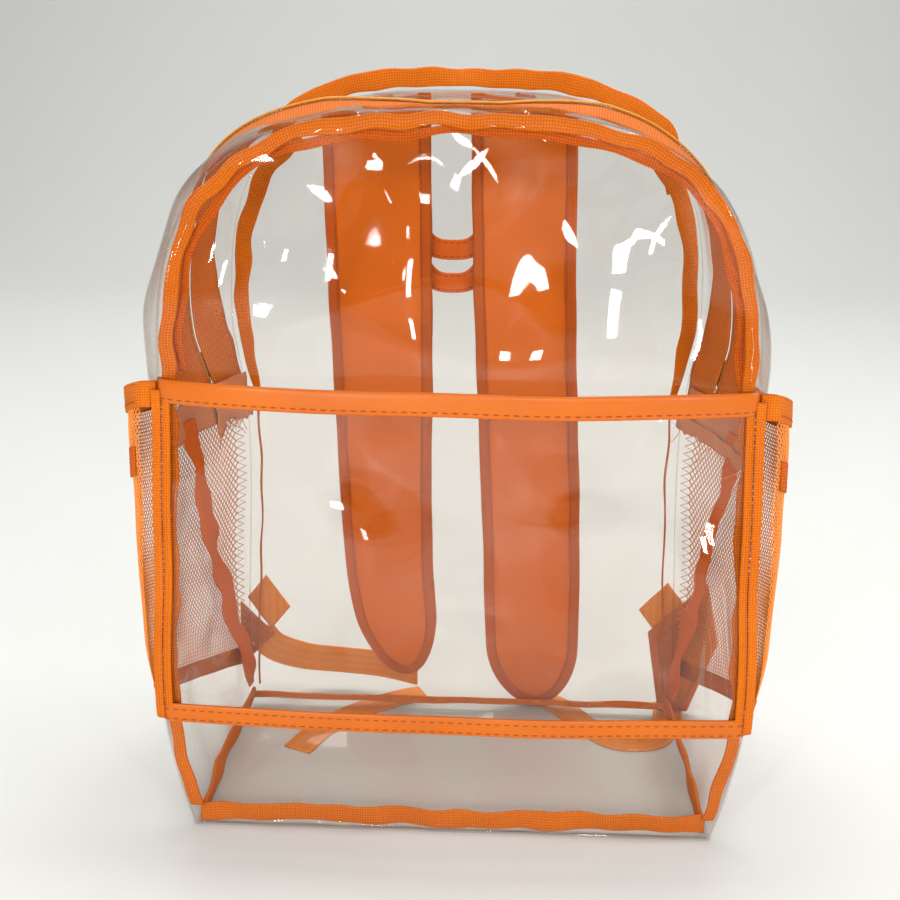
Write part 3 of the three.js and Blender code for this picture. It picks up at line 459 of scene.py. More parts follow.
def makeVinylStrip(name, light, dark):
    # pigmented PVC strip, folded and sewn: satin gloss with a slow colour drift and soft dents
    material, tree = newMaterial(name)
    place = node(tree, "ShaderNodeTexCoord").outputs["Object"]
    drift = node(tree, "ShaderNodeTexNoise", {"Vector": place, "Scale": 14.0, "Detail": 4.0})
    grain = node(tree, "ShaderNodeTexNoise", {"Vector": place, "Scale": 900.0, "Detail": 1.0})
    low = node(tree, "ShaderNodeBump", {"Height": drift.outputs["Fac"], "Strength": 0.3, "Distance": 0.003})
    bump = node(tree, "ShaderNodeBump", {
        "Height": grain.outputs["Fac"], "Strength": 0.08, "Distance": 0.0003, "Normal": low.outputs["Normal"],
    })
    shader = node(tree, "ShaderNodeBsdfPrincipled", {
        "Base Color": blend(tree, drift.outputs["Fac"], linear(dark), linear(light)), "Roughness": 0.38,
        "IOR": 1.53, "Specular IOR Level": 0.35, "Coat Weight": 0.06, "Coat Roughness": 0.15,
        "Normal": bump.outputs["Normal"],
    })
    finishMaterial(tree, shader.outputs[0])
    return material


def makeYarn(name, light, dark, roughness=0.6):
    # twisted polyester yarn or thread: slight colour change along it and a soft sheen
    material, tree = newMaterial(name)
    place = node(tree, "ShaderNodeTexCoord").outputs["Object"]
    drift = node(tree, "ShaderNodeTexNoise", {"Vector": place, "Scale": 240.0, "Detail": 2.0})
    shader = node(tree, "ShaderNodeBsdfPrincipled", {
        "Base Color": blend(tree, drift.outputs["Fac"], linear(dark), linear(light)), "Roughness": roughness,
        "Sheen Weight": 0.15, "Sheen Tint": linear(light),
    })
    finishMaterial(tree, shader.outputs[0])
    return material


def makeMetal(name, light, dark):
    # zinc alloy, cast and tumbled: grey, softly brushed, worn brighter in spots
    material, tree = newMaterial(name)
    place = node(tree, "ShaderNodeTexCoord").outputs["Object"]
    wear = node(tree, "ShaderNodeTexNoise", {"Vector": place, "Scale": 320.0, "Detail": 4.0})
    rough = node(tree, "ShaderNodeMapRange", {"Value": wear.outputs["Fac"], "To Min": 0.25, "To Max": 0.45})
    shader = node(tree, "ShaderNodeBsdfPrincipled", {
        "Base Color": blend(tree, wear.outputs["Fac"], linear(dark), linear(light)), "Metallic": 1.0,
        "Roughness": rough.outputs[0],
    })
    finishMaterial(tree, shader.outputs[0])
    return material


clearVinyl = makeClearVinyl("clear PVC film", "fcfbfa", "e4dcd6", 0.014)
bindingTape = makeWoven("woven polyester binding tape", "fa8610", "cc5e06", 1.6, 1.5, 0.7)
deepTape = makeWoven("woven tape seen in the shade", "f0700a", "b84c04", 1.6, 1.5, 0.7)
edgeTape = makeWoven("woven edge tape on the straps", "f07828", "bc5214", 1.2, 1.2, 0.5)
zipTape = makeWoven("woven zip tape", "f0883c", "c8601c", 1.2, 1.6, 0.5)
webTape = makeWoven("ribbed polypropylene webbing", "ffa048", "f88c28", 5.0, 1.6, 0.6, 0.6)
strapCloth = makeWoven("nylon cloth of the straps", "f07600", "e26a00", 0.8, 0.8, 0.2, 0.55, 0.1)
handleCloth = makeWoven("woven handle tape", "fa7c2c", "dc6010", 1.0, 1.0, 0.4)
tabCloth = makeWoven("cloth of the anchor tabs", "f0803c", "cc6830", 1.2, 1.2, 0.4)
bandCloth = makeWoven("thin tape across the zip's end", "f0a074", "d88458", 1.2, 1.2, 0.4)
vinylStrip = makeVinylStrip("orange PVC strip", "dc7000", "c25800")
netYarn = makeYarn("net yarn", "ffa248", "ff8424")
stitchThread = makeYarn("sewing thread", "b04c0c", "8e3a08")
paleThread = makeYarn("loose threads", "ffaa60", "f09040")
goldCoil = makeYarn("nylon zip coil", "f0a838", "b87418", 0.35)
zincAlloy = makeMetal("tumbled zinc alloy", "b8b6b0", "8e8c88")
print("materials made")


# camera, floor and light

view = {"place": (21.8, -768.5, 458.2), "yaw": -0.0359, "pitch": 0.3085, "roll": 0.0123, "lens": 54.062}


def makeCamera():
    # a camera from its place, yaw, pitch and roll: ahead, level and up are its axes before the roll
    yaw, pitch, roll = view["yaw"], view["pitch"], view["roll"]
    ahead = np.array([math.sin(yaw) * math.cos(pitch), math.cos(yaw) * math.cos(pitch), -math.sin(pitch)])
    level = np.array([math.cos(yaw), -math.sin(yaw), 0])
    up = np.cross(level, ahead)
    right = math.cos(roll) * level + math.sin(roll) * up
    top = -math.sin(roll) * level + math.cos(roll) * up
    place = (np.array(view["place"]) + shift) / 1000
    data = bpy.data.cameras.new("camera")
    data.lens, data.sensor_width, data.clip_start = view["lens"], 36, 0.02
    camera = bpy.data.objects.new("camera", data)
    camera.matrix_world = Matrix([[*row] for row in np.vstack([
        np.column_stack([right, top, -ahead, place]), [0, 0, 0, 1]])])
    scene.collection.objects.link(camera)
    scene.camera = camera


def makeFloor():
    # a sweep: flat floor that curves up behind; z = radius - sqrt(radius^2 - t^2) over the bend
    radius, depth, wide = 1.2, 1.6, 5.0
    turn = np.linspace(0, math.pi / 2, 24)
    y = np.concatenate([[-3.0], depth + radius * np.sin(turn), [depth + radius]])
    z = np.concatenate([[0.0], radius - radius * np.cos(turn), [4.0]])
    verts = [(x, b, c) for b, c in zip(y, z) for x in (-wide, wide)]
    faces = [(2 * k, 2 * k + 1, 2 * k + 3, 2 * k + 2) for k in range(len(y) - 1)]
    mesh = bpy.data.meshes.new("floor")
    mesh.from_pydata(verts, [], faces)
    mesh.polygons.foreach_set("use_smooth", [True] * len(faces))
    material, tree = newMaterial("pale paper sweep")
    shader = node(tree, "ShaderNodeBsdfPrincipled", {"Base Color": linear("e4e4e0"), "Roughness": 0.45})
    finishMaterial(tree, shader.outputs[0])
    mesh.materials.append(material)
    floor = bpy.data.objects.new("floor", mesh)
    scene.collection.objects.link(floor)


def addLight(name, place, aim, size, power, mirrored=True):
    # an area lamp that faces its aim; the film doesn't mirror one that has mirrored off
    data = bpy.data.lights.new(name, "AREA")
    data.shape, data.size, data.size_y, data.energy = "RECTANGLE", *size, power
    lamp = bpy.data.objects.new(name, data)
    back = unit(np.array(place, float) - np.array(aim, float))
    side = unit(np.cross([0, 0, 1], back)) if abs(back[2]) < 0.99 else np.array([1.0, 0, 0])
    top = np.cross(back, side)
    lamp.matrix_world = Matrix([[*row] for row in np.vstack([
        np.column_stack([side, top, back, place]), [0, 0, 0, 1]])])
    lamp.visible_glossy = mirrored
    scene.collection.objects.link(lamp)


def makeLight():
    addLight("overhead softbox", (0.0, 0.6, 1.9), (0, 0.3, 0), (1.8, 1.2), 24)
    addLight("backdrop lamp", (0.0, 1.1, 2.6), (0, 2.7, 0.7), (2.4, 0.6), 15)
    addLight("front fill", (0.0, -2.0, 1.1), (0, 0, 0.2), (1.8, 1.2), 19, mirrored=False)
    addLight("left window", (-0.85, -1.7, 0.7), (0, 0, 0.2), (0.09, 0.4), 7)
    addLight("right window", (0.95, -1.6, 0.6), (0, 0, 0.2), (0.08, 0.36), 6)
    addLight("front lamp", (0.25, -1.9, 0.85), (0, 0, 0.2), (0.2, 0.14), 5)
    addLight("low lamp", (-0.35, -1.8, 0.3), (0, 0, 0.2), (0.1, 0.18), 3.5)
    addLight("side lamp", (1.6, 0.1, 0.9), (0, 0, 0.25), (0.3, 0.6), 6)
    # the room is light behind the bag and dim in front of it, so the film has little to mirror but the windows
    world = bpy.data.worlds.new("studio")
    world.use_nodes = True
    tree = world.node_tree
    place = node(tree, "ShaderNodeTexCoord").outputs["Generated"]
    behind = node(tree, "ShaderNodeSeparateXYZ", {0: place}).outputs[1]
    share = node(tree, "ShaderNodeMapRange", {"Value": behind, "From Min": -0.7, "From Max": 0.2}).outputs[0]
    tone = tree.nodes["Background"]
    tree.links.new(blend(tree, share, linear("484a4a"), linear("f6f8f8")), tone.inputs[0])
    tone.inputs[1].default_value = 0.8
    scene.world = world
    scene.view_settings.view_transform = "Standard"
    scene.cycles.transparent_max_bounces = 24
    scene.cycles.caustics_reflective = False
    scene.cycles.max_bounces, scene.cycles.diffuse_bounces, scene.cycles.glossy_bounces = 4, 1, 2


makeCamera()
makeFloor()
makeLight()
print("camera, floor and light made")


# clear sheets

film = {"frontWave": 1.3, "frontLength": 95, "backWave": 1.2, "backLength": 110}


def makePanels():
    # each panel: its face, half a wall in, and waves that fade towards the seam
    def front(x, z, t):
        waves = ripple(x, z, film["frontWave"], film["frontLength"], 3) * np.minimum(t * 5, 1)
        return frontFace(x, z) + bag["wall"] / 2 + waves

    def back(x, z, t):
        waves = ripple(x, z, film["backWave"], film["backLength"], 8) * np.minimum(t * 5, 1)
        return backFace(x, z) - bag["wall"] / 2 + waves

    panelSheet("frontSheet", frontLine, (0, bag["frontHeight"] / 2), front, clearVinyl, ["front_panel"])
    panelSheet("backSheet", backLine, (0, bag["backHeight"] / 2), back, clearVinyl, ["back_panel"])


def gussetGrid(shares, front, rear, rows, wave, seed):
    # part of the gusset between two depths, with waves that fade towards both
    share = shares[:, None]
    low, high = front(share), rear(share)
    depth = low + (high - low) * np.linspace(0, 1, rows)[None]
    edge = np.minimum(1, 6 * np.minimum(depth - low, high - depth) / np.maximum(high - low, 1e-6))
    waves = ripple(share * frontLine["length"], depth * bag["depth"], wave, 60, seed) * edge
    return gusset(share, depth, 0.6 + waves)


def makeGusset():
    # the strips before and behind the zip, the two sides below its ends, and the bottom
    zipEnd = shareAtHeight(frontLine, zipLine["endHeight"])
    arch = np.linspace(-zipEnd, zipEnd, 181)
    outer = (zipLine["coil"] / 2 + zipLine["tape"] * 0.55) / bag["depth"]
    zero, one = (lambda s: 0 * s), (lambda s: 0 * s + 1)
    sheet("archSheetFront", gussetGrid(arch, zero, lambda s: zipAt(s) - outer, 22, 1.3, 11), clearVinyl,
          ["gusset_front_strip"])
    sheet("archSheetRear", gussetGrid(arch, lambda s: zipAt(s) + outer, one, 12, 0.7, 12), clearVinyl,
          ["gusset_rear_strip"])
    for side, sign in (("Left", -1), ("Right", 1)):
        shares = sign * np.linspace(zipEnd, 1, 70)
        sheet("sideSheet" + side, gussetGrid(shares, zero, one, 48, 1.6, 13 + sign), clearVinyl,
              ["side_gusset_" + side.lower()])
    across, depth = np.meshgrid(np.linspace(-1, 1, 60), np.linspace(0, 1, 40))
    edge = gusset(np.ones_like(depth), depth)
    points = np.stack([across * (edge[..., 0] - 0.3), edge[..., 1], edge[..., 2] + 0.9], -1)
    sheet("bottomSheet", points, clearVinyl, ["bottom_panel"])


zipLine = {"top": 0.58, "end": 0.79, "endHeight": 228, "tape": 15, "coil": 4.4, "widen": 2.4, "pitch": 1.35,
           "ridge": 6}
seamRun = 560  # about half a seam's length, by which ripples turn a share into millimetres


def zipAt(share):
    # the zip's line drifts back towards its ends with the square of the share
    return zipLine["top"] + (zipLine["end"] - zipLine["top"]) * (
        share / shareAtHeight(frontLine, zipLine["endHeight"])) ** 2


def ridge(share):
    # left and right of the crest the zip stands up out of the gusset; at the crest and its ends it lies flat
    return zipLine["ridge"] * np.interp(np.abs(share), [0.04, 0.15, 0.28, 0.36], [0, 1, 1, 0])


def makeZip():
    # two tapes that widen towards the ends, teeth that lean left and right in turn, and two cords
    zipEnd = shareAtHeight(frontLine, zipLine["endHeight"])
    arch = np.linspace(-zipEnd, zipEnd, 241)
    inner = (zipLine["coil"] / 2 - 0.4) / bag["depth"]
    widen = np.interp(np.abs(arch) / zipEnd, [0, 0.45, 1], [1, 1, zipLine["widen"]])
    outer = (zipLine["coil"] / 2 + zipLine["tape"] * widen) / bag["depth"]
    across = np.linspace(0, 1, 9)
    tapes = (("zipTapeFront", "zip_tape_front", -1, 1), ("zipTapeRear", "zip_tape_rear", 1, 3))
    for name, cad, sign, fall in tapes:
        reach = np.minimum(outer, 0.97 - zipAt(arch)) if sign > 0 else outer
        depth = zipAt(arch)[:, None] + sign * (inner + (reach - inner)[:, None] * across)
        flutter = ripple(arch[:, None] * seamRun, depth * bag["depth"], 0.5, 34, 21) * across
        rise = ridge(arch)[:, None] * np.linspace(1, 0, 9) ** fall
        sheet(name, gusset(arch[:, None], depth, -0.4 + flutter + rise), zipTape, [cad], 0.9)
    path = gusset(arch, zipAt(arch), 0.8 + ridge(arch))
    out = unit(gusset(arch, zipAt(arch), 9.0) - gusset(arch, zipAt(arch)))
    centres, ahead = pointsEvery(path, zipLine["pitch"])
    at, whole = np.linspace(0, 1, len(centres)), np.linspace(0, 1, len(out))
    outAt = unit(np.stack([np.interp(at, whole, out[:, k]) for k in range(3)], 1))
    side = unit(np.cross(outAt, ahead))
    lean = np.where(np.arange(len(centres)) % 2, 1, -1)[:, None]
    beads("zipTeeth", centres + side * lean * 0.85, side + ahead * 0.25 * lean, outAt, 3.0, 1.15, 1.5,
          goldCoil, "zip_coil", ["zip_coil"], rounds=5)
    for k, sign in enumerate((-1, 1)):
        line = gusset(arch, zipAt(arch) + sign * 0.012, 1.2 + ridge(arch))
        sweep("zipCord" + "AB"[k], line, unit(np.cross(out, along(line))), out, roundProfile(1.2, 1.1, 2, 8),
              goldCoil)


makePanels()
makeGusset()
makeZip()
print("clear sheets and zip made")

# woven bindings inside the seams

binding = {"front": 7.6, "fold": 5.6, "thick": 2.6, "back": 12, "top": 12, "topThick": 3.2, "bottom": 11}


def seamSweep(name, line, start, end, inset, y, width, thick, nodes, seed, steps=260, wobble=1.0,
              material=None, narrow=1.0, lean=0.0):
    # a folded tape along a seam line; it wanders by small ripples and its width breathes
    share = np.linspace(start, end, steps)
    x, z, nx, nz = seamAt(line, share)
    run = share * line["length"]
    inset = inset(share) if callable(inset) else inset
    wander = ripple(run, 0, wobble, 38, seed)
    deep = ripple(run, 30, wobble * 0.8, 45, seed + 1)
    off = inset + width / 2 + wander
    path = np.stack([x - nx * off, np.full_like(x, y) + deep, z - nz * off], 1)
    radial = np.stack([nx, 0 * nx, nz], 1)
    tilt = lean + ripple(run, 60, 0.16, 55, seed + 2)
    depthWay = np.array([[0.0, 1.0, 0.0]])
    across = radial * np.cos(tilt)[:, None] + depthWay * np.sin(tilt)[:, None]
    out = depthWay * np.cos(tilt)[:, None] - radial * np.sin(tilt)[:, None]
    wide = narrow * (1 + ripple(run, 90, 0.09, 30, seed + 3))
    return sweep(name, path, across, out, roundProfile(width, thick, 3), material or bindingTape,
                 nodes, wide)


def makeBindings():
    # the arches' tapes: two on the front seam, one down each side of the back seam, one that stands on top
    foot = 1.5 + binding["bottom"]
    frontEnd = shareAtHeight(frontLine, foot)
    seamSweep("frontSeamTape", frontLine, -frontEnd, frontEnd, 0.3, frontY + 1.8, binding["front"],
              binding["thick"], ["front_seam_binding"], 31, 420, 1.0)
    seamSweep("frontSeamFold", frontLine, -0.47, 0.5, binding["front"] - 0.6, frontY + 4.6, binding["fold"],
              binding["thick"] * 0.8, [], 34, 300, 1.3, material=deepTape, lean=0.5)
    backEnd = shareAtHeight(backLine, foot + 4)
    for side, sign, start in (("Left", -1, 0.215), ("Right", 1, 0.24)):
        share = np.linspace(start, backEnd, 200)
        slim = np.interp(share, [0, 0.5, 0.6, 1], [1, 0.8, 0.1, 0.1])
        seamSweep("backSeamTape" + side, backLine, sign * start, sign * backEnd, 0.6, backY - 2.2,
                  binding["back"], 2.4, ["back_seam_binding_" + side.lower()], 37 + sign, 200, 0.8,
                  narrow=slim)
    seamSweep("topSeamTape", backLine, -0.27, 0.3, topInset, backY + 0.3, binding["top"],
              binding["topThick"], ["top_seam_binding"], 44, 260, 0.7, lean=0.12)


def topInset(share):
    # the tape stands above the seam in the middle and runs down into it at both ends
    middle = np.clip((0.285 - np.abs(share - 0.015)) / 0.075, 0, 1)
    return -(2.2 + binding["top"]) * middle**2 * (3 - 2 * middle)


def lineSweep(name, points, width, thick, nodes, seed, wobble=0.9):
    # a tape on edge along a line of points, with the same kind of ripples
    path = smoothPath(points, 160)
    run = np.concatenate([[0], np.cumsum(np.linalg.norm(np.diff(path, axis=0), axis=1))])
    up = np.broadcast_to(np.array([0.0, 0.0, 1.0]), path.shape)
    side = unit(np.cross(along(path), up))
    rise, sway = ripple(run, 0, wobble, 42, seed), ripple(run, 20, wobble, 50, seed + 1)
    path = path + up * rise[:, None] + side * sway[:, None]
    tilt = ripple(run, 40, 0.2, 60, seed + 2)[:, None]
    across = unit(up * np.cos(tilt) + side * np.sin(tilt))
    out = unit(np.cross(along(path), across))
    wide = 1 + ripple(run, 90, 0.08, 30, seed + 3)
    return sweep(name, path, across, out, roundProfile(width, thick, 3), bindingTape, nodes,
                 wide)


def makeBottomBindings():
    # tapes on edge along the four sides of the bottom; the back one is narrow
    corner = seamAt(frontLine, np.array([1.0]))[0][0] - 2
    rear = seamAt(backLine, np.array([1.0]))[0][0] - 2
    high, tall = 1.8 + binding["bottom"] / 2, binding["bottom"]
    lineSweep("frontBottomTape", [(x, frontY + 3.2, high) for x in (-corner, 0, corner)], tall, 3.2,
              ["front_bottom_binding"], 51)
    lineSweep("backBottomTape", [(x, backY - 3, 8.5) for x in (-rear, 0, rear)], 4.5, 2.4,
              ["back_bottom_binding"], 55, 0.5)
    for side, sign in (("Left", -1), ("Right", 1)):
        route = [(sign * (corner - 1.5), frontY + 6, high), (sign * (corner - 2), 0, high + 2),
                 (sign * (rear - 2), backY - 6, high + 4)]
        lineSweep("sideBottomTape" + side, route, tall, 3.2, ["side_bottom_binding_" + side.lower()],
                  58 + sign)


makeBindings()
makeBottomBindings()
print("bindings made")

# front pocket

pocket = {"bottom": 70, "top": 274, "room": 10, "topStrip": 13, "bottomStrip": 11.5, "stitch": 3.4,
          "gap": 1.9}


def pocketFace(x, z):
    # stands off the front panel more towards its open top: room (1 - (x / half)^4) sin(up)^0.8
    up = np.clip((z - pocket["bottom"]) / (pocket["top"] - pocket["bottom"]), 0, 1)
    middle = np.maximum(0, 1 - (x / halfAt(frontLine, z)) ** 4)
    return frontFace(x, z) - 0.5 - pocket["room"] * middle * np.sin(math.pi / 2 * up) ** 0.8


def stripPath(z, off, reach):
    # follows the pocket's face across the bag and turns back round its side seams
    half = halfAt(frontLine, np.array([z]))[0] + reach
    x = np.linspace(-1, 1, 120) * half
    y = pocketFace(x, np.full_like(x, z)) - off
    turn = np.clip((np.abs(x) - half + 5) / 5, 0, 1)
    return np.stack([x, y + 4.5 * turn**2, np.full_like(x, z)], 1)


def makePocket():
    # the clear sheet, and its two sewn strips with one and two rows of stitches
    across, up = np.meshgrid(np.linspace(-1, 1, 110), np.linspace(0, 1, 80))
    z = pocket["bottom"] + (pocket["top"] - pocket["bottom"]) * up
    x = across * halfAt(frontLine, z)
    fade = np.minimum(1, 8 * (1 - np.abs(across))) * np.minimum(1, 6 * up) * np.minimum(1, 6 * (1 - up))
    y = pocketFace(x, z) - 0.5 + ripple(x, z, 1.5, 90, 61) * fade
    sheet("pocketSheet", np.stack([x, y, z], -1), clearVinyl, ["pocket_panel"])
    upward = np.array([0.0, 0, 1])
    strips = (
        ("pocketTopStrip", "pocket_top_binding", pocket["top"] - 6.5, pocket["topStrip"], 3.6, 1, (-3.9,)),
        ("pocketBottomStrip", "pocket_bottom_strip", pocket["bottom"] + 5.75, pocket["bottomStrip"], 2.6, 2,
         (-3.6, 2.4)),
    )
    for name, cad, z, height, thick, reach, rows in strips:
        path = stripPath(z, 1.2, reach)
        path = path + upward * ripple(path[:, 0], 0, 0.35, 120, 63)[:, None]
        out = unit(np.cross(along(path), upward))
        sweep(name, path, np.broadcast_to(upward, path.shape), out, roundProfile(height, thick, 3.2, 36),
              vinylStrip, [cad])
        for k, drop in enumerate(rows):
            thread = path + upward * drop + out * (thick / 2 * 0.93)
            stitchRow(f"{name}Stitches{k + 1}", thread, pocket["stitch"] + pocket["gap"], (0, -1, 0),
                      (pocket["stitch"], 0.85, 0.8), 4)


makePocket()
print("front pocket made")

# net pockets on the sides

net = {"room": 11, "fullness": 0.2, "frontTop": 272, "backTop": 262, "sag": 18, "frontHem": 80, "backHem": 32,
       "rows": [(0, 0), (0.2, 0.95), (0.5, 1.3), (0.8, 1.22), (1, 1)],
       "cellWide": 3.6, "cellHigh": 4.6, "yarn": 1.0, "across": 185.0, "tall": 205.0}
netRoom = curve(net["rows"])


def netPoint(sign, depth, up, lift=0.0):
    # the net stands off the side wall by a flattened half sine over the depth
    hem = net["frontHem"] + (net["backHem"] - net["frontHem"]) * depth
    top = net["frontTop"] + (net["backTop"] - net["frontTop"]) * depth - net["sag"] * np.sin(np.pi * depth)
    z = hem + (top - hem) * up
    y = (frontY + 0.3) + (backY - frontY - 0.6) * depth
    bow = np.sin(np.pi * np.clip(depth, 0, 1) ** bag["bulgePower"])
    room = net["room"] * netRoom(up) * np.maximum(bow, 0) ** net["fullness"]
    front = halfAt(frontLine, z)
    wall = front + (halfAt(backLine, z) - front) * depth + bulgeAt(sign, z, depth)
    x = sign * (wall + bag["wall"] + 0.8 + room + lift)
    return np.stack(np.broadcast_arrays(x, y, z), -1)


def netGrid(sign, depths, ups, columns, rows, lift):
    # part of the net's surface between two depths and two heights, rippled
    depth = np.linspace(*depths, columns)[None]
    up = np.linspace(*ups, rows)[:, None]
    waves = ripple(depth * bag["depth"], up * 200, 0.4, 45, 66)
    return netPoint(sign, depth, up, lift + waves)


def makeNets():
    # the net: upright yarns that swing left and right by a quarter cell at each half cell, neighbours mirrored
    for side, sign in (("Left", -1), ("Right", 1)):
        low = side.lower()
        first = 0.015
        count = int(net["across"] / (net["cellWide"] / 2))
        steps = int(net["tall"] / (net["cellHigh"] / 2))
        at = (np.arange(count) + 0.5) / count
        swing = 0.25 * net["cellWide"] / net["across"] * np.where(np.arange(steps) % 2, 1, -1)
        column = at[:, None] + swing[None] * np.where(np.arange(count) % 2, 1, -1)[:, None]
        depth = first + (1 - first) * np.clip(column, 0, 1)
        up = np.linspace(0.01, 0.99, steps)[None] + 0 * depth
        waves = ripple(depth * bag["depth"], up * 200, 0.8, 50, 65)
        lines = netPoint(sign, depth, up, 0.5 + waves)
        normals = np.cross(netPoint(sign, depth, up + 0.01) - netPoint(sign, depth, up),
                           netPoint(sign, depth + 0.01, up) - netPoint(sign, depth, up))
        normals = normals * np.sign(normals[..., :1] * sign)
        strands("net" + side, lines, normals, net["yarn"], 0.6, netYarn, ["net_pocket_" + low])
        bands = (
            ("netTopBand", (0.0, 1), (0.925, 1.0), 70, 8, 1.2, bindingTape, ["net_top_band_" + low], 2.4),
            ("netHem", (0.0, 1), (0, 0.052), 70, 6, 1.2, tabCloth, ["net_hem_" + low], 1.8),
            ("netPatch", (0.03, 0.16), (0.72, 0.81), 14, 14, 1.4, deepTape, [], 1.2),
        )
        for name, depths, ups, columns, rows, lift, material, nodes, thick in bands:
            sheet(name + side, netGrid(sign, depths, ups, columns, rows, lift), material, nodes,
                  thick)
        seam = netPoint(sign, np.linspace(0.02, 0.98, 90), 0.94, 2.8)
        stitchRow("netBandStitches" + side, seam, 5.0, (sign, 0, 0), (3.2, 0.7, 0.6))
        # the double tape down the front seam, to which the net is sewn
        z = np.linspace(net["frontHem"] - 8, net["frontTop"] - 4, 90)
        wander = ripple(z, 0, 0.4, 60, 67)
        for k, (offset, wide) in enumerate(((2.4, 5.4), (-3.0, 5.0))):
            x = sign * (halfAt(frontLine, z) + offset + wander)
            path = np.stack([x, np.full_like(z, frontY - 2.6 - 0.6 * k), z], 1)
            across = np.tile(unit(np.array([sign * 1.0, 0.35, 0])), (len(z), 1))
            out = np.tile(unit(np.array([sign * 0.35, -1.0, 0])), (len(z), 1))
            sweep(f"netEdge{side}{k + 1}", path, across, out, roundProfile(wide, 1.8, 3), bindingTape,
                  ["net_edge_band_" + low] if k == 0 else [])
        x = sign * (halfAt(frontLine, z) - 0.3 + wander)
        middle = np.stack([x, np.full_like(z, frontY - 3.6), z], 1)
        stitchRow("netEdgeStitches" + side, middle, 3.6, (0, -1, 0), (2.6, 0.9, 0.7))


makeNets()
print("net pockets made")

# shoulder straps

straps = {
    "thickness": 8, "bow": 9, "seat": 0.8, "endRound": 44, "tape": 8, "topGap": 1.5,
    "left": {"bottom": 23, "rows": [(0.05, -36, 24), (0.16, -45, 28), (0.26, -50, 30), (0.69, -55, 33.5),
                                    (1, -57, 34)]},
    "right": {"bottom": 2.7, "rows": [(0, 52, 30), (0.13, 49, 32), (0.24, 48, 33), (0.69, 38, 33),
                                      (1, 34, 33)]},
}


def archHeight(x):
    # the back seam's height at a place across the bag: the same superellipse
    share = np.minimum(np.abs(x) / bag["backHalf"], 1)
    rise = bag["backHeight"] - bag["backShoulder"]
    return bag["backShoulder"] + rise * (1 - share**3) ** (1 / 3)


def strapFace(bottom, x, z):
    # a strap's inner face: the back panel's, and a half sine from its end to the top
    share = np.clip((z - bottom) / (bag["backHeight"] - bottom), 0, 1)
    return backFace(x, z) + straps["seat"] + straps["bow"] * np.sin(np.pi * share)


def strapCurves(strap):
    rows = np.array(strap["rows"])
    return curve(rows[:, [0, 1]]), curve(rows[:, [0, 2]])


def strapEdge(strap, inset):
    # down the left side, round the end and up the right side: centre -+ (half - inset)
    centre, half = strapCurves(strap)
    start = strap["bottom"] + straps["endRound"]
    height = bag["backHeight"]
    sides = []
    for sign in (-1, 1):
        top = archHeight(np.array([centre(1.0) + sign * half(1.0)]))[0] - straps["topGap"]
        z = np.linspace(top, start, 90)
        sides.append(np.stack([centre(z / height) + sign * (half(z / height) - inset), z], 1))
    angle = np.linspace(0, math.pi, 60)[1:-1]
    z = start - (straps["endRound"] - inset) * np.sin(angle)
    end = np.stack([centre(z / height) - (half(z / height) - inset) * np.cos(angle), z], 1)
    return np.concatenate([sides[0], end, sides[1][::-1]])


def makeStraps():
    # each strap: a pad, an edge tape round it, and a row of stitches on each face
    for side in ("left", "right"):
        strap = straps[side]
        name = "strap" + side.capitalize()
        outline = strapEdge(strap, straps["tape"] / 2)
        rows = len(outline) // 2
        left, right = outline[:rows], outline[::-1][:rows]
        # the pad: a pillow between its two edges, thickest in the middle, with soft dents
        across = np.linspace(0, 1, 26)[None, :, None]
        flat = left[:, None] + (right - left)[:, None] * across
        x, z = flat[..., 0], flat[..., 1]
        swell = (1 - (2 * across[..., 0] - 1) ** 4) ** 0.5
        dents = ripple(x, z, 0.5, 46, 71) * swell
        face = strapFace(strap["bottom"], x, z)
        middle = face + straps["thickness"] / 2
        thick = straps["thickness"] / 2 * (0.45 + 0.5 * swell)
        front = np.stack([x, middle - thick + dents, z], -1)
        back = np.stack([x, middle + thick + dents, z], -1)[:, ::-1]
        ring = np.concatenate([front, back], 1)
        quads, corner = gridFaces(rows, ring.shape[1], True)
        uvs = np.concatenate([ring, ring[:, :1]], 1)[..., [0, 2]] / 1000
        last = (rows - 1) * ring.shape[1]
        size = ring.shape[1]
        caps = [list(range(size))[::-1], list(range(last, last + size))]
        flipped = [face[::-1] for face in quads.tolist() + caps]
        loopUvs = np.concatenate([uvs[corner[..., 0], corner[..., 1]][:, ::-1].reshape(-1, 2),
                                  uvs[0, :size], uvs[-1, :size][::-1]])
        pad = piece(name, ring.reshape(-1, 3), flipped, loopUvs, strapCloth,
                    ["shoulder_strap_" + side])
        x, z = outline.T
        path = np.stack([x, strapFace(strap["bottom"], x, z) + straps["thickness"] / 2, z], 1)
        depthWay = np.tile([0.0, 1.0, 0.0], (len(path), 1))
        inward = unit(np.cross(depthWay, along(path)))
        run = np.concatenate([[0], np.cumsum(np.linalg.norm(np.diff(path, axis=0), axis=1))])
        path = path + inward * ripple(run, 0, 0.35, 40, 75)[:, None]
        profile = roundProfile(straps["tape"], straps["thickness"] + 0.8, 3.4, 32)
        sweep(name + "Edge", path, inward, depthWay, profile, edgeTape,
              ["strap_binding_" + side])
        x, z = strapEdge(strap, straps["tape"] - 1.6).T
        y = strapFace(strap["bottom"], x, z) + straps["thickness"] / 2
        for k, sign in enumerate((-1, 1)):
            row = np.stack([x, y + sign * (straps["thickness"] / 2 + 0.35), z], 1)
            stitchRow(f"{name}Stitches{k + 1}", row, 4.6, (0, sign, 0), (3.2, 0.7, 0.7), 2)


makeStraps()
print("shoulder straps made")

# webbing, tabs and handle

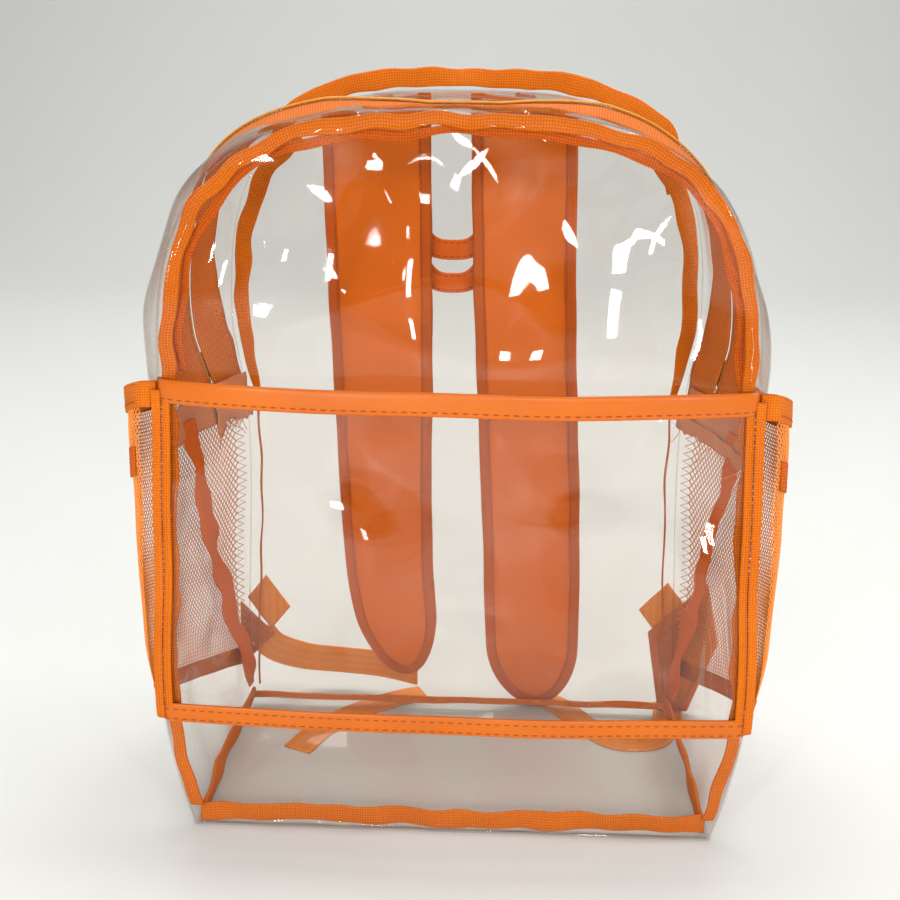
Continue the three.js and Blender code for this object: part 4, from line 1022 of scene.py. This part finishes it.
webbing = {
    "width": 20, "thickness": 1.6,
    "left": [(-30, 10, 22.3), (-56, 21, 22.3), (-84, 26, 22.3), (-110, 21, 27), (-129, 10, 39),
             (-138, 4.6, 52)],
    "tail": [(-26, 20, 0.9), (-44, 11, 0.9), (-70, -9, 0.9), (-92, -36, 0.9), (-104, -63, 0.9)],
    "right": [(46, 22, 0.9), (68, 9, 0.9), (86, -18, 0.9), (106, -40, 0.9), (130, -38, 0.9), (142, -14, 0.9),
              (146, 14, 0.9)],
}


def webbingSweep(name, route, upright, nodes):
    # webbing along a route of (x, distance behind the back seam, z), standing on edge or lying flat
    path = smoothPath([(x, backY + back, z) for x, back, z in route], 110)
    ahead = along(path)
    up = np.tile([0.0, 0.0, 1.0], (len(path), 1))
    level = unit(np.cross(up, ahead))
    across = unit(up - ahead * np.sum(up * ahead, 1)[:, None]) if upright else level
    out = unit(np.cross(ahead, across))
    return sweep(name, path, across, out, flatProfile(webbing["width"], webbing["thickness"]), webTape,
                 nodes)


def plate(name, corners, y, thickness, material, nodes):
    # a flat polygon with a closed edge, subdivided across so that it can bow a little
    corners = np.array(corners, float)
    loop = np.concatenate([corners, corners[:1]])
    at = np.linspace(0, len(corners), 12 * len(corners) + 1)[:-1]
    i = at.astype(int)
    edge = loop[i] + (loop[i + 1] - loop[i]) * (at - i)[:, None]
    middle = corners.mean(0)
    t = np.linspace(0, 0.96, 8)[:, None, None]
    flat = edge[None] + (middle - edge)[None] * t
    bow = 0.7 * np.sin(t[..., 0] * 1.5) + ripple(flat[..., 0], flat[..., 1], 0.3, 22, 82)
    points = np.stack([flat[..., 0], y - bow, flat[..., 1]], -1)
    quads, corner = gridFaces(8, points.shape[1], True)
    flatPoints = points.reshape(-1, 3)
    cap = [list(range(7 * points.shape[1], 8 * points.shape[1]))]
    uv = flatPoints[:, [0, 2]] / 1000
    loops = np.concatenate([quads.ravel(), cap[0]])
    obj = piece(name, flatPoints, quads.tolist() + cap, uv[loops], material, nodes)
    return addWall(obj, thickness)


tabs = {
    "left": [(-151, 76), (-152, 28), (-128, 52.4)],
    "right": [(166, 98), (128, 61), (138, 2.3), (158, 2.3), (176, 54)],
}
cutEnds = {
    "left": [(-133.4, 94.9), (-146.5, 78.3), (-130.6, 55), (-117.5, 71.6)],
    "right": [(139.9, 96.9), (121.5, 76.4), (138, 54), (156.4, 74.9)],
}


def makeWebbing():
    # the straps' webbing, and on each side a sewn tab with a cut end over it
    webbingSweep("webbingLeft", webbing["left"], True, ["strap_webbing_left"])
    webbingSweep("webbingTailLeft", webbing["tail"], False, ["webbing_tail_left"])
    webbingSweep("webbingRight", webbing["right"], False, ["strap_webbing_right"])
    y = backY + 1.2 + 0.5 + 1.1
    for side in ("left", "right"):
        big = side.capitalize()
        plate("anchorTab" + big, tabs[side], y, 2.0, tabCloth, ["anchor_tab_" + side])
        corners = np.array(tabs[side], float)
        middle = corners.mean(0)
        inner = middle + (corners - middle) * 0.74
        for k, (a, b) in enumerate(zip(inner, np.roll(inner, -1, 0))):
            path = smoothPath([(a[0], y - 1.6, a[1]), (b[0], y - 1.6, b[1])], 60)
            stitchRow(f"tab{big}Stitches{k + 1}", path, 4.2, (0, -1, 0), (2.9, 0.75, 0.7))
        plate("webbingEnd" + big, cutEnds[side], y + 2.7, 1.6, webTape, ["webbing_end_" + side])


handle = {"half": 44, "centre": -9, "drop": 98, "step": 22, "width": 13, "thickness": 1.8}


def makeHandle():
    # two leaves that hang from the top between the straps: the drop falls off with the cube of the reach
    for leaf, name in enumerate(("handleInner", "handleOuter")):
        drop = handle["drop"] + leaf * handle["step"]
        reach = np.linspace(-1, 1, 160)
        x = handle["centre"] + handle["half"] * reach
        z = archHeight(x) - straps["topGap"] - drop * (1 - np.abs(reach) ** 3)
        stand = straps["thickness"] + 1.1 + leaf * (handle["thickness"] + 0.5) + handle["thickness"] / 2
        y = strapFace(bag["backLift"], x, z) + stand
        path = np.stack([x, y, z], 1)
        depthWay = np.tile([0.0, 1.0, 0.0], (len(path), 1))
        across = unit(np.cross(along(path), depthWay))
        sweep(name, path, across, depthWay, flatProfile(handle["width"], handle["thickness"]), handleCloth,
              ["grab_handle_" + ("inner", "outer")[leaf]])
        for k, side in enumerate((-1, 1)):
            off = side * (handle["width"] / 2 - 2)
            row = path + across * off - depthWay * (handle["thickness"] / 2 + 0.15)
            stitchRow(f"{name}Stitches{k + 1}", row, 4.2, (0, -1, 0), (2.9, 0.7, 0.6))


makeWebbing()
makeHandle()
print("webbing, tabs and handle made")

# zip ends, slider and pull

zipEnds = {
    "band": 22, "above": 9, "front": 0.11, "rear": 0.94, "threads": 14,
    "flapLeft": {"depth": (0.72, 0.97), "top": 240, "drop": 30},
    "flapRight": {"depth": (0.3, 0.97), "top": 218, "drop": 9},
}
sideTape = {"top": 226, "bottom": 14, "front": 0.5, "rear": 0.95, "width": 15}


def frayed(name, sign, depths, top, drop, seed):
    # a cut tape end inside the gusset: its lower edge is jagged, and loose threads hang from it
    rng = np.random.default_rng(seed)
    columns, rows = 34, 12
    depth = np.linspace(*depths, columns)[None]
    ragged = drop * 0.9 + 2.2 * rng.random(columns)
    ragged = ragged + ripple(depth[0] * bag["depth"], 0, drop * 0.12, 18, seed)
    height = top - ragged[None] * np.linspace(0, 1, rows)[:, None]
    share = sign * shareAtHeight(frontLine, height)
    waves = ripple(depth * bag["depth"], height, 1.1, 24, seed + 1)
    points = gusset(share, depth + 0 * height, -4.4 + waves)
    sheet(name, points, bandCloth, thickness=0.6)
    pick = rng.integers(1, columns - 1, zipEnds["threads"])
    t = np.linspace(0, 1, 14)[None, :, None]
    length = rng.uniform(4, 13, (zipEnds["threads"], 1, 1))
    sway = rng.normal(0, 0.55, (zipEnds["threads"], 1, 3)) * [1, 1, 0.2]
    curl = rng.normal(0, 0.35, (zipEnds["threads"], 1, 3))
    lines = points[-1, pick][:, None] + length * (t * [0, 0, -0.8] + sway * t + curl * t * t)
    normals = np.tile([0.3, -1.0, 0.1], (zipEnds["threads"], 14, 1))
    strands(name + "Threads", lines, normals, 0.5, 0.5, paleThread)


def makeZipEnds():
    # a thin tape across each side below the zip's end, and a frayed flap
    for side, sign in (("Left", -1), ("Right", 1)):
        top = zipLine["endHeight"] + zipEnds["above"]
        high, low = shareAtHeight(frontLine, top), shareAtHeight(frontLine, top - zipEnds["band"])
        shares = sign * np.linspace(low, high, 10)[:, None]
        depth = np.linspace(zipEnds["front"], zipEnds["rear"], 50)[None] + 0 * shares
        waves = ripple(depth * bag["depth"], shares * seamRun, 0.7, 26, 95)
        points = gusset(shares, depth, -2.6 + waves)
        sheet("zipEndBand" + side, points, bandCloth, ["zip_end_band_" + side.lower()], 1.0)
        flap = zipEnds["flap" + side]
        frayed("frayedFlap" + side, sign, flap["depth"], flap["top"], flap["drop"], 97 + sign)


def makeSideTapes():
    # a loose tape inside each side: it runs down and back from the zip's end to the lower back corner
    for side, sign in (("Left", -1), ("Right", 1)):
        height = np.linspace(sideTape["top"], sideTape["bottom"], 140)[:, None]
        fall = (sideTape["top"] - height) / (sideTape["top"] - sideTape["bottom"])
        middle = sideTape["front"] + (sideTape["rear"] - sideTape["front"]) * fall**1.2
        sway = ripple(height, 0, 3.5, 60, 103 + sign)
        half = sideTape["width"] / 2 + ripple(height, 0, 1.8, 45, 107 + sign)
        depth = middle + (sway + half * np.linspace(-1, 1, 9)[None]) / bag["depth"]
        share = sign * shareAtHeight(frontLine, height)
        waves = ripple(depth * bag["depth"], height, 0.8, 26, 111)
        points = gusset(share, np.minimum(depth, 0.985), -3.4 + waves)
        sheet("sideTape" + side, points, handleCloth, thickness=0.8)


makeZipEnds()
makeSideTapes()
for name in ("zip_slider", "zip_pull"):
    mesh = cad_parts[name].data
    mesh.materials.clear()
    mesh.materials.append(zincAlloy)
print("zip ends made")
